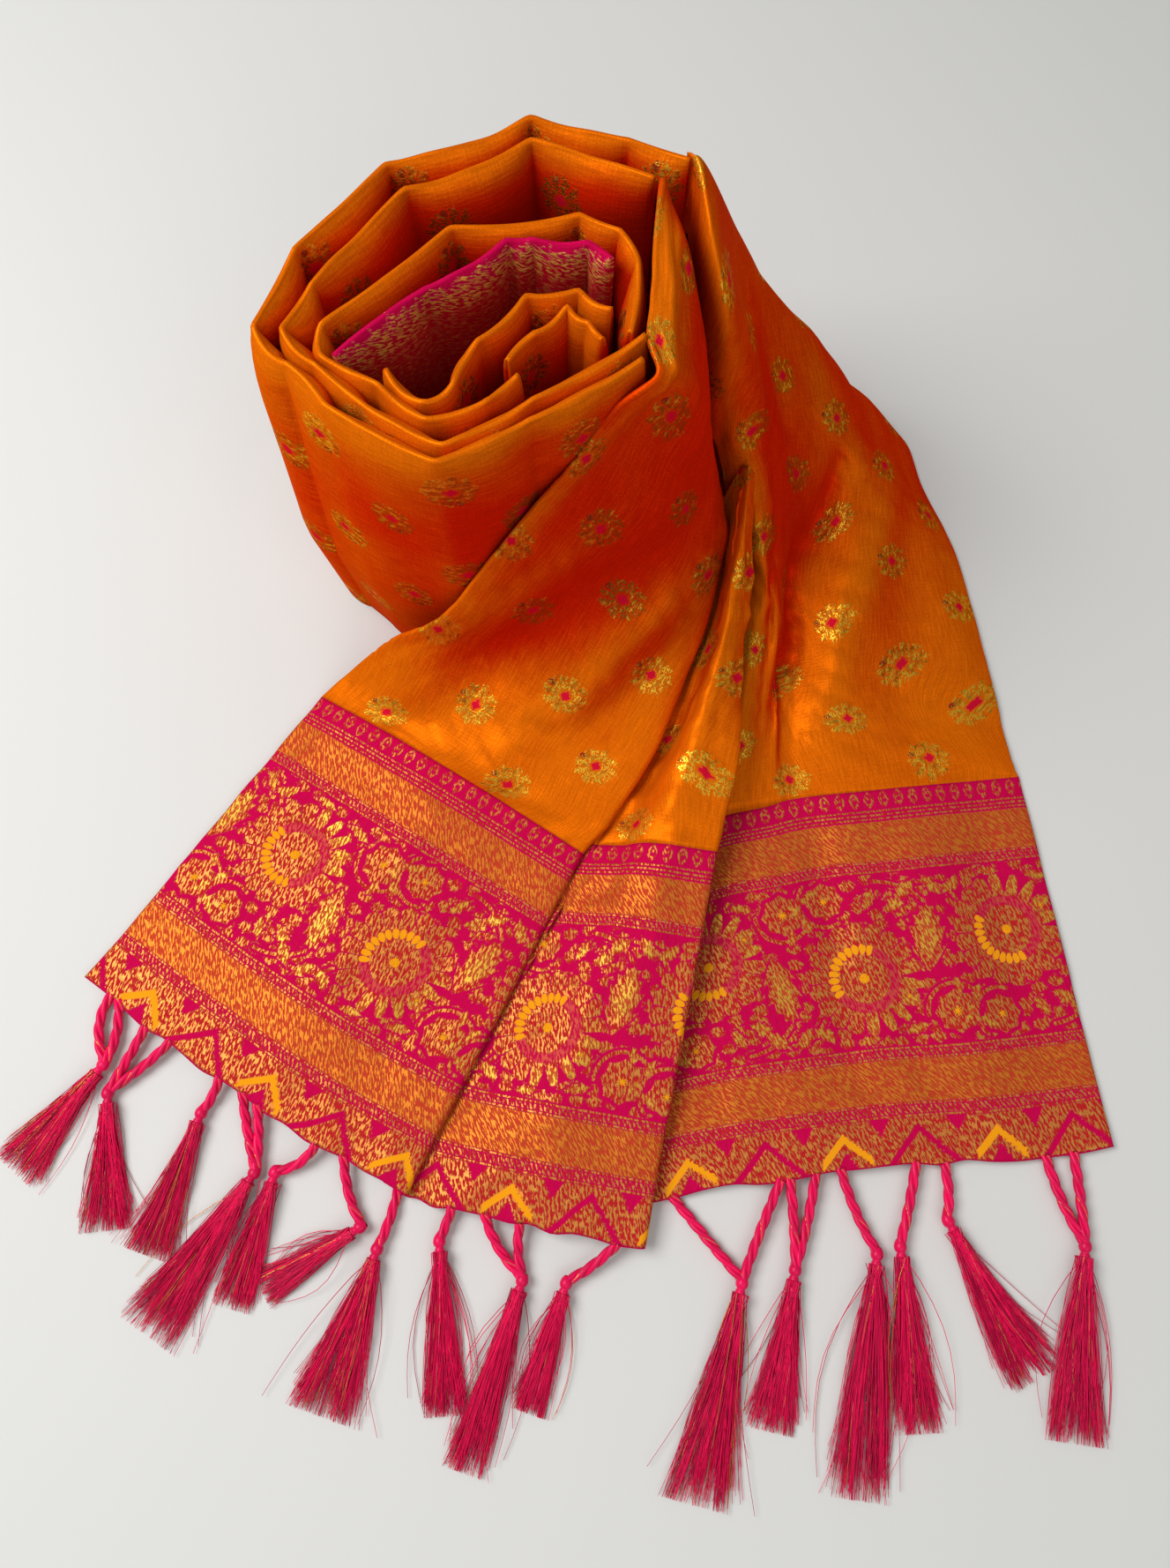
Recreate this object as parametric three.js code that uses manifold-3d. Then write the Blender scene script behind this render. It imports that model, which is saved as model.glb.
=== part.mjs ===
// A silk saree, wound into a coil of upright folds at one end and fanned out flat at the other, where its
// tasselled end border lies on the surface. Millimetres, +Z up. The coil stands behind (+Y), the border in front.
import * as THREE from 'three';
import Module from 'manifold-3d';
import { mergeVertices } from 'three/addons/utils/BufferGeometryUtils.js';

const wasm = await Module();
wasm.setup();

// The tables below give places from a datum on the floor under the fan's centre fall. CENTRE is the middle of
// the whole outline from that datum, so that the finished part stands with its outline's middle on the origin.
const CENTRE = { x: -11.47, y: 95.27 };
const COIL_HEIGHT = 185;      // cloth 1120 wide, folded in six
const TURN_WALL = 4;          // one turn of the folded strip
const PANEL_WALL = 2;         // the laid panels, two layers of cloth
const SEAM = 0.3;             // parting between neighbouring pieces
const TURN_STEP = 9;          // length of wall between two of its sections
const BORDER_ROWS = 6;        // sections down the end border
const TASSEL_THREAD = 1.5;    // a lock of tassel threads at its root
const BED_FRONT = -12;        // the hidden layers' front edge, behind the hem
const BED_STEP = 14;          // the hidden layers' sections, front to back
const BED_ACROSS = 16;        // places across each of those sections
const BED_SCAN = 2;           // spacing of the places at which a section's ends are looked for
const BED_WINDOW = [-1.1, -0.8, -0.5, -0.25, 0, 0.25, 0.5, 0.8, 1.1];   // places tried around each, in sections
const BED_INSET = 7;          // how far the hidden layers stay inside the panels' edges
const BED_GAP = 1.2;          // between a panel and the hidden layers under it
const BED_LEAST = 0.4;        // the hidden layers at their thinnest
const CORD = 2.4;             // the twisted cord that ties a tassel to the hem
const CORD_PART = 0.85;       // from the hem to the middle of a cord's end, which meets it at a slant
const STRANDS = 10;           // locks in a tassel's skirt
const HEAD = { radius: 3.6, length: 9, lift: 0.6 };
const CORD_STEPS = 4;         // stretches of a cord between the hem and its tassel
const CORD_LIFT = 1.2;        // a cord's middle over the floor, beyond its own radius

const SILK = { color: 0xe87410, roughness: 0.42, metalness: 0.0 };
const BROCADE = { color: 0xc23a3c, roughness: 0.5, metalness: 0.15 };
const THREAD = { color: 0xc4164f, roughness: 0.6, metalness: 0.0 };

// Corners of each turn's top edge, in order along the strip. bow swells the stretch that follows a corner,
// and belly is how far the wall below that corner stands out at its fullest.
const TURN_OUTER = [
  { x: 33, y: 315, bow: 0.5, belly: 0 }, { x: 15, y: 322, bow: 0, belly: 2 }, { x: -19, y: 331, bow: -2, belly: 3 },
  { x: -69, y: 312, bow: 0, belly: 5 }, { x: -98, y: 277, bow: 0, belly: 8 }, { x: -110, y: 247, bow: 2, belly: 10 },
  { x: -98, y: 233, bow: -1, belly: 10 }, { x: -85, y: 218, bow: 1, belly: 7 }, { x: -48, y: 197, bow: 1, belly: 0 },
  { x: -18, y: 212, bow: 1, belly: 0 }, { x: 12, y: 230, bow: 0, belly: 0 },
];
const TURN_SECOND = [
  { x: 24, y: 307, bow: 1 }, { x: -19, y: 323, bow: -1.5 }, { x: -62, y: 302, bow: 1 }, { x: -92, y: 264, bow: 0 },
  { x: -101, y: 247, bow: 1.5 }, { x: -89, y: 233, bow: 0 }, { x: -73, y: 219, bow: 1 }, { x: -46, y: 203.2, bow: 1 },
  { x: -17, y: 220, bow: 1 }, { x: 10, y: 238, bow: 0 },
];
const TURN_THIRD = [
  { x: 15, y: 246, bow: 1 }, { x: 18, y: 273, bow: 1.5 }, { x: 12, y: 286, bow: 0 }, { x: -2, y: 293, bow: -1 },
  { x: -46, y: 287, bow: 0 }, { x: -88, y: 249, bow: 1.5 }, { x: -87.3, y: 237.2, bow: 0 },
  { x: -68, y: 226, bow: 0.5 },
  { x: -52, y: 213.5, bow: 1 }, { x: -32, y: 220, bow: 0 }, { x: -22, y: 230, bow: 0 },
];
const CORE_END = [
  { x: 9, y: 275, bow: 1 }, { x: 1, y: 282, bow: 0 }, { x: -18, y: 283, bow: 0.5 }, { x: -27, y: 283, bow: -1 },
  { x: -54, y: 264, bow: 1 }, { x: -83.3, y: 237.9, bow: 0 },
];
const FOLD_INNER = [
  { x: -66, y: 233, bow: 2 }, { x: -53, y: 221, bow: 1.5 }, { x: -43, y: 229, bow: -1 }, { x: -36, y: 244, bow: 1.5 },
  { x: -20, y: 262, bow: 1 }, { x: -2, y: 264, bow: 1 }, { x: 9, y: 256, bow: 0 },
];
const FOLD_EYE = [
  { x: -26, y: 237, bow: -1 }, { x: -17, y: 248, bow: 1 }, { x: -6, y: 258.6, bow: 1 }, { x: 1, y: 252, bow: 0 },
  { x: 6, y: 245, bow: 0 },
];

// Sections down each fall of the fan, from the coil to the top of the border. A section's points run from its
// left edge to its right one: x, y, z of the cloth's face.
const FALL_LEFT = [
  { edge: [31, 305, 184], shoulder: [33, 306, 174], mid: [35, 307, 160], foot: [37, 308, 140] },
  { edge: [25, 284, 184], shoulder: [29, 285, 172], mid: [34, 286, 150], foot: [40, 287, 120] },
  { edge: [24, 265, 183], shoulder: [30, 266, 168], mid: [37, 267, 140], foot: [46, 268, 105] },
  { edge: [22, 245, 183], shoulder: [29, 248, 166], mid: [38, 251, 134], foot: [52, 256, 88] },
  { edge: [25, 230, 181], shoulder: [32, 236, 160], mid: [43, 242, 122], foot: [57, 250, 74] },
  { edge: [11, 221.5, 173], shoulder: [21, 228, 146], mid: [39, 235, 104], foot: [60, 242, 62] },
  { edge: [-4, 212.6, 154], shoulder: [9, 217, 128], mid: [34, 222, 86], foot: [60, 230, 50] },
  { edge: [-20.5, 202.6, 134], shoulder: [-5, 204.5, 106], mid: [23, 205, 66], foot: [54, 205, 38] },
  { edge: [-36, 195.5, 113], shoulder: [-20, 196, 88], mid: [10, 188, 50], foot: [45, 184, 30] },
  { edge: [-60, 191.5, 71], shoulder: [-38, 184.5, 56], mid: [-5, 168, 34], foot: [31, 152, 22] },
  { edge: [-84, 194, 40], shoulder: [-57, 177, 38], mid: [-21, 149, 24], foot: [16, 128, 17] },
  { edge: [-106, 189, 15], shoulder: [-77, 168, 20], mid: [-35, 136, 18], foot: [6, 115, 14] },
  { edge: [-122, 180, 4], shoulder: [-89, 160, 11], mid: [-45, 133, 12], foot: [-3, 106, 11] },
];
const HEM_LEFT = { edge: [-218, 50, 2.6], shoulder: [-175, 20, 6], mid: [-123, -13, 7], foot: [-76, -37, 6] };

const FALL_CENTRE = [
  { edge: [65, 254, 83], tuck: [66, 252.5, 86], mid: [67.5, 251, 88], foot: [70, 250, 85] },
  { edge: [55, 246, 42], tuck: [61.5, 242, 50], mid: [67, 236, 68], foot: [72, 234, 60] },
  { edge: [46, 222, 28], tuck: [58, 219, 36], mid: [64, 216, 56], foot: [72, 214, 48] },
  { edge: [37, 194, 23], tuck: [50, 191, 26], mid: [58, 189, 44], foot: [69, 191, 38] },
  { edge: [17, 152, 12], tuck: [33, 149, 16], mid: [46, 146, 31], foot: [66, 147, 30] },
  { edge: [-3, 111, 5], tuck: [6, 109, 9], mid: [28, 107, 22], foot: [55, 103, 24] },
];
const HEM_CENTRE = { edge: [-84, -34, 2.6], tuck: [-71, -41, 4], mid: [-28, -50, 9], foot: [22, -59, 6] };

const FALL_RIGHT = [
  { edge: [35.4, 313.5, 150], ridge: [35.4, 316, 185], slope: [36, 318, 135],
    valley: [36.5, 319.5, 98], crest: [37.5, 321, 56], foot: [39, 322, 3] },
  { edge: [37, 312, 150], ridge: [37.5, 315, 185], slope: [46, 325, 135],
    valley: [54, 331, 98], crest: [68, 336, 56], foot: [92, 338, 3] },
  { edge: [39, 309, 148], ridge: [40.5, 311, 184], slope: [60, 325, 135],
    valley: [77, 331, 98], crest: [107, 332, 56], foot: [151, 323, 3] },
  { edge: [42.5, 288, 118], ridge: [45, 288, 174], slope: [65, 300, 120],
    valley: [90, 302, 76], crest: [121, 296, 46], foot: [165, 290, 3] },
  { edge: [49, 269, 98], ridge: [53, 270, 152], slope: [75, 284, 96],
    valley: [102, 283, 50], crest: [133, 275, 34], foot: [177, 257, 3] },
  { edge: [56, 262, 80], ridge: [63, 264, 106], slope: [82, 268, 72],
    valley: [103, 262, 34], crest: [131, 246, 26], foot: [183, 229, 3] },
  { edge: [61, 255, 61], ridge: [70, 250, 73], slope: [84, 246, 54],
    valley: [98, 231, 24], crest: [126, 213, 20], foot: [190, 185, 3] },
  { edge: [67, 244, 34], ridge: [77, 231, 46], slope: [87, 220, 34],
    valley: [94, 200, 16], crest: [123, 185, 15], foot: [193, 163, 3] },
  { edge: [69, 211, 22], ridge: [78, 206, 28], slope: [88, 187, 20],
    valley: [92, 170, 10], crest: [124, 156, 12], foot: [196, 146, 3] },
  { edge: [54, 119, 5], ridge: [64, 123, 7], slope: [82, 127, 6],
    valley: [96, 131, 6], crest: [128, 134, 8], foot: [198, 142, 3] },
];
const HEM_RIGHT = {
  edge: [27, -42, 3], ridge: [66, -35, 5], slope: [100, -31, 6],
  valley: [140, -27, 5], crest: [178, -25, 4], foot: [222, -20, 2.6],
};

// Tassels from left to right: the tie x, y; how far and which way the skirt points (degrees from +X);
// its spread at the tips; and the hem points that its cords come from, with a middle point for each cord.
const TASSELS = [
  { x: -207, y: 13, length: 48, way: 232, spread: 20, cords: [[-209, 40, -214, 31], [-205, 39, -200, 27]] },
  { x: -203, y: 1, length: 48, way: 276, spread: 19, cords: [[-190, 29, -196, 16], [-179, 22, -189, 12]] },
  { x: -163, y: -7, length: 52, way: 252, spread: 19, cords: [[-156, 7, -158, 0]] },
  { x: -139, y: -31, length: 66, way: 237, spread: 22, cords: [[-147, 0, -143, -14], [-140, -4, -137, -16]] },
  { x: -130, y: -31, length: 48, way: 255, spread: 14, cords: [[-113, -20, -119, -29]] },
  { x: -94, y: -52, length: 40, way: 212, spread: 13, cords: [[-103, -28, -100, -40]] },
  { x: -86, y: -61, length: 58, way: 252, spread: 26, cords: [[-79, -38, -80, -48]] },
  { x: -60, y: -58, length: 58, way: 274, spread: 16, cords: [[-55, -44, -57, -50]] },
  { x: -26, y: -73, length: 66, way: 252, spread: 15, cords: [[-42, -48, -38, -60], [-27, -52, -29, -61]] },
  { x: -8, y: -74, length: 44, way: 252, spread: 13, cords: [[13, -60, 3, -68]] },
  { x: 64, y: -74, length: 75, way: 256, spread: 24, cords: [[37, -43, 50, -56], [82, -34, 70, -58]] },
  { x: 86, y: -69, length: 54, way: 258, spread: 20, cords: [[86, -34, 87, -52], [97, -32.5, 93, -50]] },
  { x: 120, y: -63, length: 82, way: 262, spread: 22, cords: [[107, -30.5, 112, -48]] },
  { x: 130, y: -60, length: 62, way: 273, spread: 15, cords: [[139, -28.5, 135, -45]] },
  { x: 151, y: -50, length: 60, way: 298, spread: 20, cords: [[151, -27.5, 153, -38]] },
  { x: 206, y: -60, length: 66, way: 262, spread: 21, cords: [[194, -24, 198, -44], [206, -23, 207, -42]] },
];

const point = ([x, y, z]) => new THREE.Vector3(x - CENTRE.x, y - CENTRE.y, z);

// A tassel's tied head, along it: head lengths from the tie, and share of the head's radius.
const HEAD_SECTION = [
  { along: -0.5, radius: 0.5 }, { along: 0, radius: 1 }, { along: 0.5, radius: 0.7 }, { along: 0.9, radius: 0.85 },
];

// One lock of a tassel's skirt: share of its reach, share of its spread, thickness, and height. The height is over
// the floor, from the share of the head's height to the share of the lock's own lift, plus a rise in mm.
const LOCK_SECTION = [
  { along: 0.1, across: 0.2, radius: 1, head: 1, lift: 0, rise: -0.4 },
  { along: 0.45, across: 0.6, radius: 1, head: 0, lift: 1, rise: 1.6 },
  { along: 1, across: 1, radius: 0.6, head: 0, lift: 1, rise: 0 },
];
const LOCK_LIFTS = [1.2, 3.2];    // locks lie in two layers, by turns

// Smooth curve through a row of points, read at t from 0 to 1.
function through(points, t) {
  const spans = points.length - 1;
  const at = Math.min(t * spans, spans - 1e-6);
  const i = Math.floor(at);
  const f = at - i;
  const p = (k) => points[Math.max(0, Math.min(spans, k))];
  const out = new THREE.Vector3();
  for (const axis of ['x', 'y', 'z']) {
    const a = p(i)[axis];
    const b = p(i + 1)[axis];
    const before = i > 0 ? p(i - 1)[axis] : 2 * a - b;
    const after = i + 2 <= spans ? p(i + 2)[axis] : 2 * b - a;
    const inSlope = (b - before) / 2;
    const outSlope = (after - a) / 2;
    const f2 = f * f;
    const f3 = f2 * f;
    out[axis] = (2 * f3 - 3 * f2 + 1) * a + (f3 - 2 * f2 + f) * inSlope
      + (3 * f2 - 2 * f3) * b + (f3 - f2) * outSlope;
  }
  return out;
}

// A grid of points over a table of sections, down by across.
function surface(sections, down, across) {
  const rows = sections.map((section) => Object.values(section).map(point));
  const grid = [];
  for (let i = 0; i <= down; i += 1) {
    const row = [];
    for (let j = 0; j <= across; j += 1) {
      const column = rows.map((r) => through(r, j / across));
      row.push(through(column, i / down));
    }
    grid.push(row);
  }
  return grid;
}

// Unit normals of a grid, on the side that faces up.
function normals(grid) {
  return grid.map((row, i) => row.map((_, j) => {
    const up = grid[Math.max(0, i - 1)][j];
    const down = grid[Math.min(grid.length - 1, i + 1)][j];
    const left = row[Math.max(0, j - 1)];
    const right = row[Math.min(row.length - 1, j + 1)];
    return down.clone().sub(up).cross(right.clone().sub(left)).normalize();
  }));
}

// A closed solid between two grids of the same size: outer is the face, inner the back.
function between(outer, inner) {
  const down = outer.length;
  const across = outer[0].length;
  const positions = [];
  for (const grid of [outer, inner]) {
    for (const row of grid) for (const p of row) positions.push(p.x, p.y, p.z);
  }
  const a = (i, j) => i * across + j;
  const b = (i, j) => down * across + i * across + j;
  const index = [];
  const quad = (p, q, r, s) => index.push(p, q, r, p, r, s);
  for (let i = 0; i + 1 < down; i += 1) {
    for (let j = 0; j + 1 < across; j += 1) {
      quad(a(i, j), a(i + 1, j), a(i + 1, j + 1), a(i, j + 1));
      quad(b(i, j), b(i, j + 1), b(i + 1, j + 1), b(i + 1, j));
    }
  }
  for (let i = 0; i + 1 < down; i += 1) {
    quad(a(i, 0), b(i, 0), b(i + 1, 0), a(i + 1, 0));
    quad(a(i, across - 1), a(i + 1, across - 1), b(i + 1, across - 1), b(i, across - 1));
  }
  for (let j = 0; j + 1 < across; j += 1) {
    quad(a(0, j), a(0, j + 1), b(0, j + 1), b(0, j));
    quad(a(down - 1, j), b(down - 1, j), b(down - 1, j + 1), a(down - 1, j + 1));
  }
  const geometry = new THREE.BufferGeometry();
  geometry.setAttribute('position', new THREE.Float32BufferAttribute(positions, 3));
  geometry.setIndex(index);
  return geometry;
}

// The grid moved along its normals by depth, and held on or above the floor.
function sunk(grid, depth) {
  const normal = normals(grid);
  return grid.map((row, i) => row.map((p, j) => {
    const moved = p.clone().addScaledVector(normal[i][j], -depth);
    moved.z = Math.max(0, moved.z);
    return moved;
  }));
}

const sheet = (grid) => between(grid, sunk(grid, PANEL_WALL));

// Rows of the border: from the last section of the fall, parted from it, straight on to the hem.
function borderSections(top, hem) {
  const names = Object.keys(hem);
  const sections = [];
  for (let i = 0; i <= BORDER_ROWS; i += 1) {
    const section = {};
    for (const name of names) {
      const length = Math.hypot(...hem[name].map((v, k) => v - top[name][k]));
      const t = SEAM / length + (1 - SEAM / length) * (i / BORDER_ROWS);
      section[name] = top[name].map((v, k) => v + (hem[name][k] - v) * t);
    }
    sections.push(section);
  }
  return sections;
}

// The plan of one turn: corners joined by stretches that bow outward, each place with its belly.
function turnPath(corners) {
  const path = [];
  corners.forEach((corner, i) => {
    const next = corners[i + 1] ?? corner;
    const run = new THREE.Vector2(next.x - corner.x, next.y - corner.y);
    const steps = Math.max(1, Math.round(run.length() / TURN_STEP));
    const side = new THREE.Vector2(run.y, -run.x).normalize();
    for (let k = 0; k < steps; k += 1) {
      const t = k / steps;
      const swell = corner.bow * 4 * t * (1 - t);
      path.push({
        at: new THREE.Vector2(
          corner.x + run.x * t + side.x * swell - CENTRE.x,
          corner.y + run.y * t + side.y * swell - CENTRE.y,
        ),
        belly: THREE.MathUtils.lerp(corner.belly ?? 0, next.belly ?? 0, t),
      });
    }
  });
  return path;
}

// Section of a turn's wall, from the floor up over the rounded fold and down again: half thicknesses out
// from the wall's middle, share of the height, mm below the top, and share of the belly.
const WALL_SECTION = [
  { out: 1, share: 0, below: 0, belly: 0.45 }, { out: 1, share: 0.35, below: 0, belly: 1 },
  { out: 1, share: 0.7, below: 0, belly: 0.55 }, { out: 1, share: 1, below: 3.2, belly: 0 },
  { out: 0.75, share: 1, below: 0.9, belly: 0 }, { out: 0, share: 1, below: 0, belly: 0 },
  { out: -0.75, share: 1, below: 0.9, belly: 0 }, { out: -1, share: 1, below: 3.2, belly: 0 },
  { out: -1, share: 0.7, below: 0, belly: 0.55 }, { out: -1, share: 0.35, below: 0, belly: 1 },
  { out: -1, share: 0, below: 0, belly: 0.45 },
];

function turn(corners, wall, height) {
  const path = turnPath(corners);
  const rings = path.map(({ at, belly }, i) => {
    const before = path[Math.max(0, i - 1)].at;
    const after = path[Math.min(path.length - 1, i + 1)].at;
    const run = at.clone().sub(before).normalize().add(after.clone().sub(at).normalize()).normalize();
    return WALL_SECTION.map((row) => {
      const out = (row.out * wall) / 2 + row.belly * belly;
      return new THREE.Vector3(at.x + run.y * out, at.y - run.x * out, row.share * height - row.below);
    });
  });
  const count = WALL_SECTION.length;
  const positions = rings.flat().flatMap((p) => [p.x, p.y, p.z]);
  const index = [];
  for (let i = 0; i + 1 < rings.length; i += 1) {
    for (let j = 0; j < count; j += 1) {
      const k = (j + 1) % count;
      const a = i * count + j;
      const b = i * count + k;
      index.push(a, a + count, b, b, a + count, b + count);
    }
  }
  const last = (rings.length - 1) * count;
  for (let j = 0; j < (count - 1) / 2; j += 1) {
    const k = count - 1 - j;
    index.push(j, j + 1, k, last + j, last + k, last + j + 1);
    if (j + 1 < k - 1) index.push(j + 1, k - 1, k, last + j + 1, last + k, last + k - 1);
  }
  const geometry = new THREE.BufferGeometry();
  geometry.setAttribute('position', new THREE.Float32BufferAttribute(positions, 3));
  geometry.setIndex(index);
  return facingOut(geometry);
}

// Turns a closed mesh's faces outward when its volume comes out negative.
function facingOut(geometry) {
  const position = geometry.attributes.position;
  const index = geometry.index.array;
  let volume = 0;
  const v = [new THREE.Vector3(), new THREE.Vector3(), new THREE.Vector3()];
  for (let i = 0; i < index.length; i += 3) {
    v.forEach((p, k) => p.fromBufferAttribute(position, index[i + k]));
    volume += v[0].dot(v[1].clone().cross(v[2]));
  }
  if (volume < 0) {
    const flipped = [];
    for (let i = 0; i < index.length; i += 3) flipped.push(index[i], index[i + 2], index[i + 1]);
    geometry.setIndex(flipped);
  }
  return geometry;
}

function toSolid(geometry) {
  const bare = new THREE.BufferGeometry();
  bare.setAttribute('position', geometry.attributes.position.clone());
  if (geometry.index) bare.setIndex(geometry.index.clone());
  const merged = facingOut(mergeVertices(bare, 1e-4));
  return new wasm.Manifold(new wasm.Mesh({
    numProp: 3,
    vertProperties: new Float32Array(merged.attributes.position.array),
    triVerts: new Uint32Array(merged.index.array),
  }));
}

function toGeometry(solid) {
  const mesh = solid.getMesh();
  const geometry = new THREE.BufferGeometry();
  geometry.setAttribute('position', new THREE.BufferAttribute(new Float32Array(mesh.vertProperties), 3));
  geometry.setIndex(new THREE.BufferAttribute(new Uint32Array(mesh.triVerts), 1));
  return geometry;
}

// A tapering tube of a few flat sides through some points.
function tube(points, radii, sides) {
  const positions = [];
  points.forEach((p, i) => {
    const before = points[Math.max(0, i - 1)];
    const after = points[Math.min(points.length - 1, i + 1)];
    const run = after.clone().sub(before).normalize();
    const side = new THREE.Vector3(run.y, -run.x, 0).normalize();
    const up = side.clone().cross(run).normalize();
    for (let k = 0; k < sides; k += 1) {
      const angle = (2 * Math.PI * k) / sides + Math.PI / 2;
      const offset = side.clone().multiplyScalar(Math.cos(angle)).addScaledVector(up, Math.sin(angle));
      const q = p.clone().addScaledVector(offset, radii[i]);
      positions.push(q.x, q.y, q.z);
    }
  });
  const index = [];
  for (let i = 0; i + 1 < points.length; i += 1) {
    for (let k = 0; k < sides; k += 1) {
      const a = i * sides + k;
      const b = i * sides + ((k + 1) % sides);
      index.push(a, b, b + sides, a, b + sides, a + sides);
    }
  }
  const last = (points.length - 1) * sides;
  for (let k = 1; k + 1 < sides; k += 1) index.push(0, k + 1, k, last, last + k, last + k + 1);
  const geometry = new THREE.BufferGeometry();
  geometry.setAttribute('position', new THREE.Float32BufferAttribute(positions, 3));
  geometry.setIndex(index);
  return facingOut(geometry);
}

// The place just clear of the hem that is nearest to a point, at the middle of the cloth's edge.
function beyondHem(target, hemLines) {
  let best = null;
  for (const line of hemLines) {
    for (let i = 0; i + 1 < line.length; i += 1) {
      const near = new THREE.Line3(line[i], line[i + 1]).closestPointToPoint(target, true, new THREE.Vector3());
      const distance = Math.hypot(near.x - target.x, near.y - target.y);
      if (!best || distance < best.distance) best = { near, distance, run: line[i + 1].clone().sub(line[i]) };
    }
  }
  const outward = new THREE.Vector3(best.run.y, -best.run.x, 0).normalize();
  const place = best.near.addScaledVector(outward, CORD_PART);
  place.z = Math.max(CORD / 2 + 0.2, place.z - PANEL_WALL / 2);
  return place;
}

// A tassel: a tied head, the locks of its skirt fanned over the floor, and its cords up to the hem.
function tassel({ x, y, length, way, spread, cords }, hemLines) {
  const turnTo = THREE.MathUtils.degToRad(way);
  const along = new THREE.Vector3(Math.cos(turnTo), Math.sin(turnTo), 0);
  const aside = new THREE.Vector3(-along.y, along.x, 0);
  const tie = point([x, y, HEAD.radius + HEAD.lift]);
  const head = tube(
    HEAD_SECTION.map((row) => tie.clone().addScaledVector(along, row.along * HEAD.length)),
    HEAD_SECTION.map((row) => row.radius * HEAD.radius),
    6,
  );
  let solid = toSolid(head);
  for (let s = 0; s < STRANDS; s += 1) {
    const fan = (2 * s) / (STRANDS - 1) - 1;
    const reach = length * (0.93 + 0.07 * Math.cos(2.6 * s));
    const lift = LOCK_LIFTS[s % LOCK_LIFTS.length];
    const points = LOCK_SECTION.map((row) => {
      const p = tie.clone().addScaledVector(along, row.along * reach)
        .addScaledVector(aside, (fan * row.across * spread) / 2);
      p.z = row.head * tie.z + row.lift * lift + row.rise;
      return p;
    });
    solid = solid.add(toSolid(tube(points, LOCK_SECTION.map((row) => row.radius * TASSEL_THREAD), 3)));
  }
  for (const [hemX, hemY, midX, midY] of cords) {
    const hem = beyondHem(point([hemX, hemY, 0]), hemLines);
    const middle = point([midX, midY, CORD / 2 + CORD_LIFT]);
    const curve = new THREE.QuadraticBezierCurve3(hem, middle, tie.clone().addScaledVector(along, -1));
    solid = solid.add(toSolid(tube(curve.getPoints(CORD_STEPS), Array(CORD_STEPS + 1).fill(CORD / 2), 4)));
  }
  return toGeometry(solid);
}

const object = new THREE.Group();

function add(name, geometry, finish) {
  const mesh = new THREE.Mesh(geometry, new THREE.MeshStandardMaterial(finish));
  mesh.name = name;
  object.add(mesh);
}

// Height of the lowest panel's underside over a place, or null where no panel lies.
function undersideAt(x, y, backs) {
  let lowest = null;
  for (const grid of backs) {
    for (let i = 0; i + 1 < grid.length; i += 1) {
      for (let j = 0; j + 1 < grid[i].length; j += 1) {
        const corners = [grid[i][j], grid[i + 1][j], grid[i + 1][j + 1], grid[i][j + 1]];
        for (const [a, b, c] of [[0, 1, 2], [0, 2, 3]]) {
          const z = heightOn(x, y, corners[a], corners[b], corners[c]);
          if (z !== null && (lowest === null || z < lowest)) lowest = z;
        }
      }
    }
  }
  return lowest;
}

// Height of a triangle over a place, or null beside it.
function heightOn(x, y, a, b, c) {
  const area = (b.x - a.x) * (c.y - a.y) - (c.x - a.x) * (b.y - a.y);
  if (Math.abs(area) < 1e-6) return null;
  const u = ((x - a.x) * (c.y - a.y) - (c.x - a.x) * (y - a.y)) / area;
  const v = ((b.x - a.x) * (y - a.y) - (x - a.x) * (b.y - a.y)) / area;
  if (u < 0 || v < 0 || u + v > 1) return null;
  return a.z + u * (b.z - a.z) + v * (c.z - a.z);
}

// The layers hidden under the fan, as one rounded solid that fills the room between the panels and the floor.
function hiddenFolds(backs) {
  const xs = backs.flat(2).map((p) => p.x);
  const ys = backs.flat(2).map((p) => p.y);
  const [west, east] = [Math.min(...xs), Math.max(...xs)];
  const [front, rear] = [BED_FRONT - CENTRE.y, Math.max(...ys) - BED_INSET];
  const rows = Math.round((rear - front) / BED_STEP);
  const top = [];
  for (let i = 0; i <= rows; i += 1) {
    const y = rear + ((front - rear) * i) / rows;
    const covered = [];
    for (let x = west; x <= east; x += BED_SCAN) {
      if ((undersideAt(x, y, backs) ?? 0) > BED_LEAST + 2 * BED_GAP) covered.push(x);
    }
    const left = covered[0] + BED_INSET;
    const width = covered[covered.length - 1] - BED_INSET - left;
    if (!(width > BED_STEP)) continue;
    const row = [];
    for (let j = 0; j <= BED_ACROSS; j += 1) {
      const x = left + (width * j) / BED_ACROSS;
      const near = [];
      for (const dx of BED_WINDOW) {
        for (const dy of BED_WINDOW) {
          near.push(undersideAt(x + (dx * width) / BED_ACROSS, y + dy * BED_STEP, backs) ?? COIL_HEIGHT);
        }
      }
      const lowest = Math.min(...near);
      const z = lowest < COIL_HEIGHT ? Math.max(BED_LEAST, lowest - BED_GAP) : BED_LEAST;
      row.push(new THREE.Vector3(x, y, z));
    }
    top.push(row);
  }
  const bed = toSolid(between(top, top.map((row) => row.map((p) => new THREE.Vector3(p.x, p.y, 0)))));
  const bodies = bed.subtract(toSolid(turn(TURN_OUTER, TURN_WALL + 2 * BED_GAP, COIL_HEIGHT))).decompose();
  bodies.sort((a, b) => b.volume() - a.volume());
  return toGeometry(bodies[0]);
}

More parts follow.
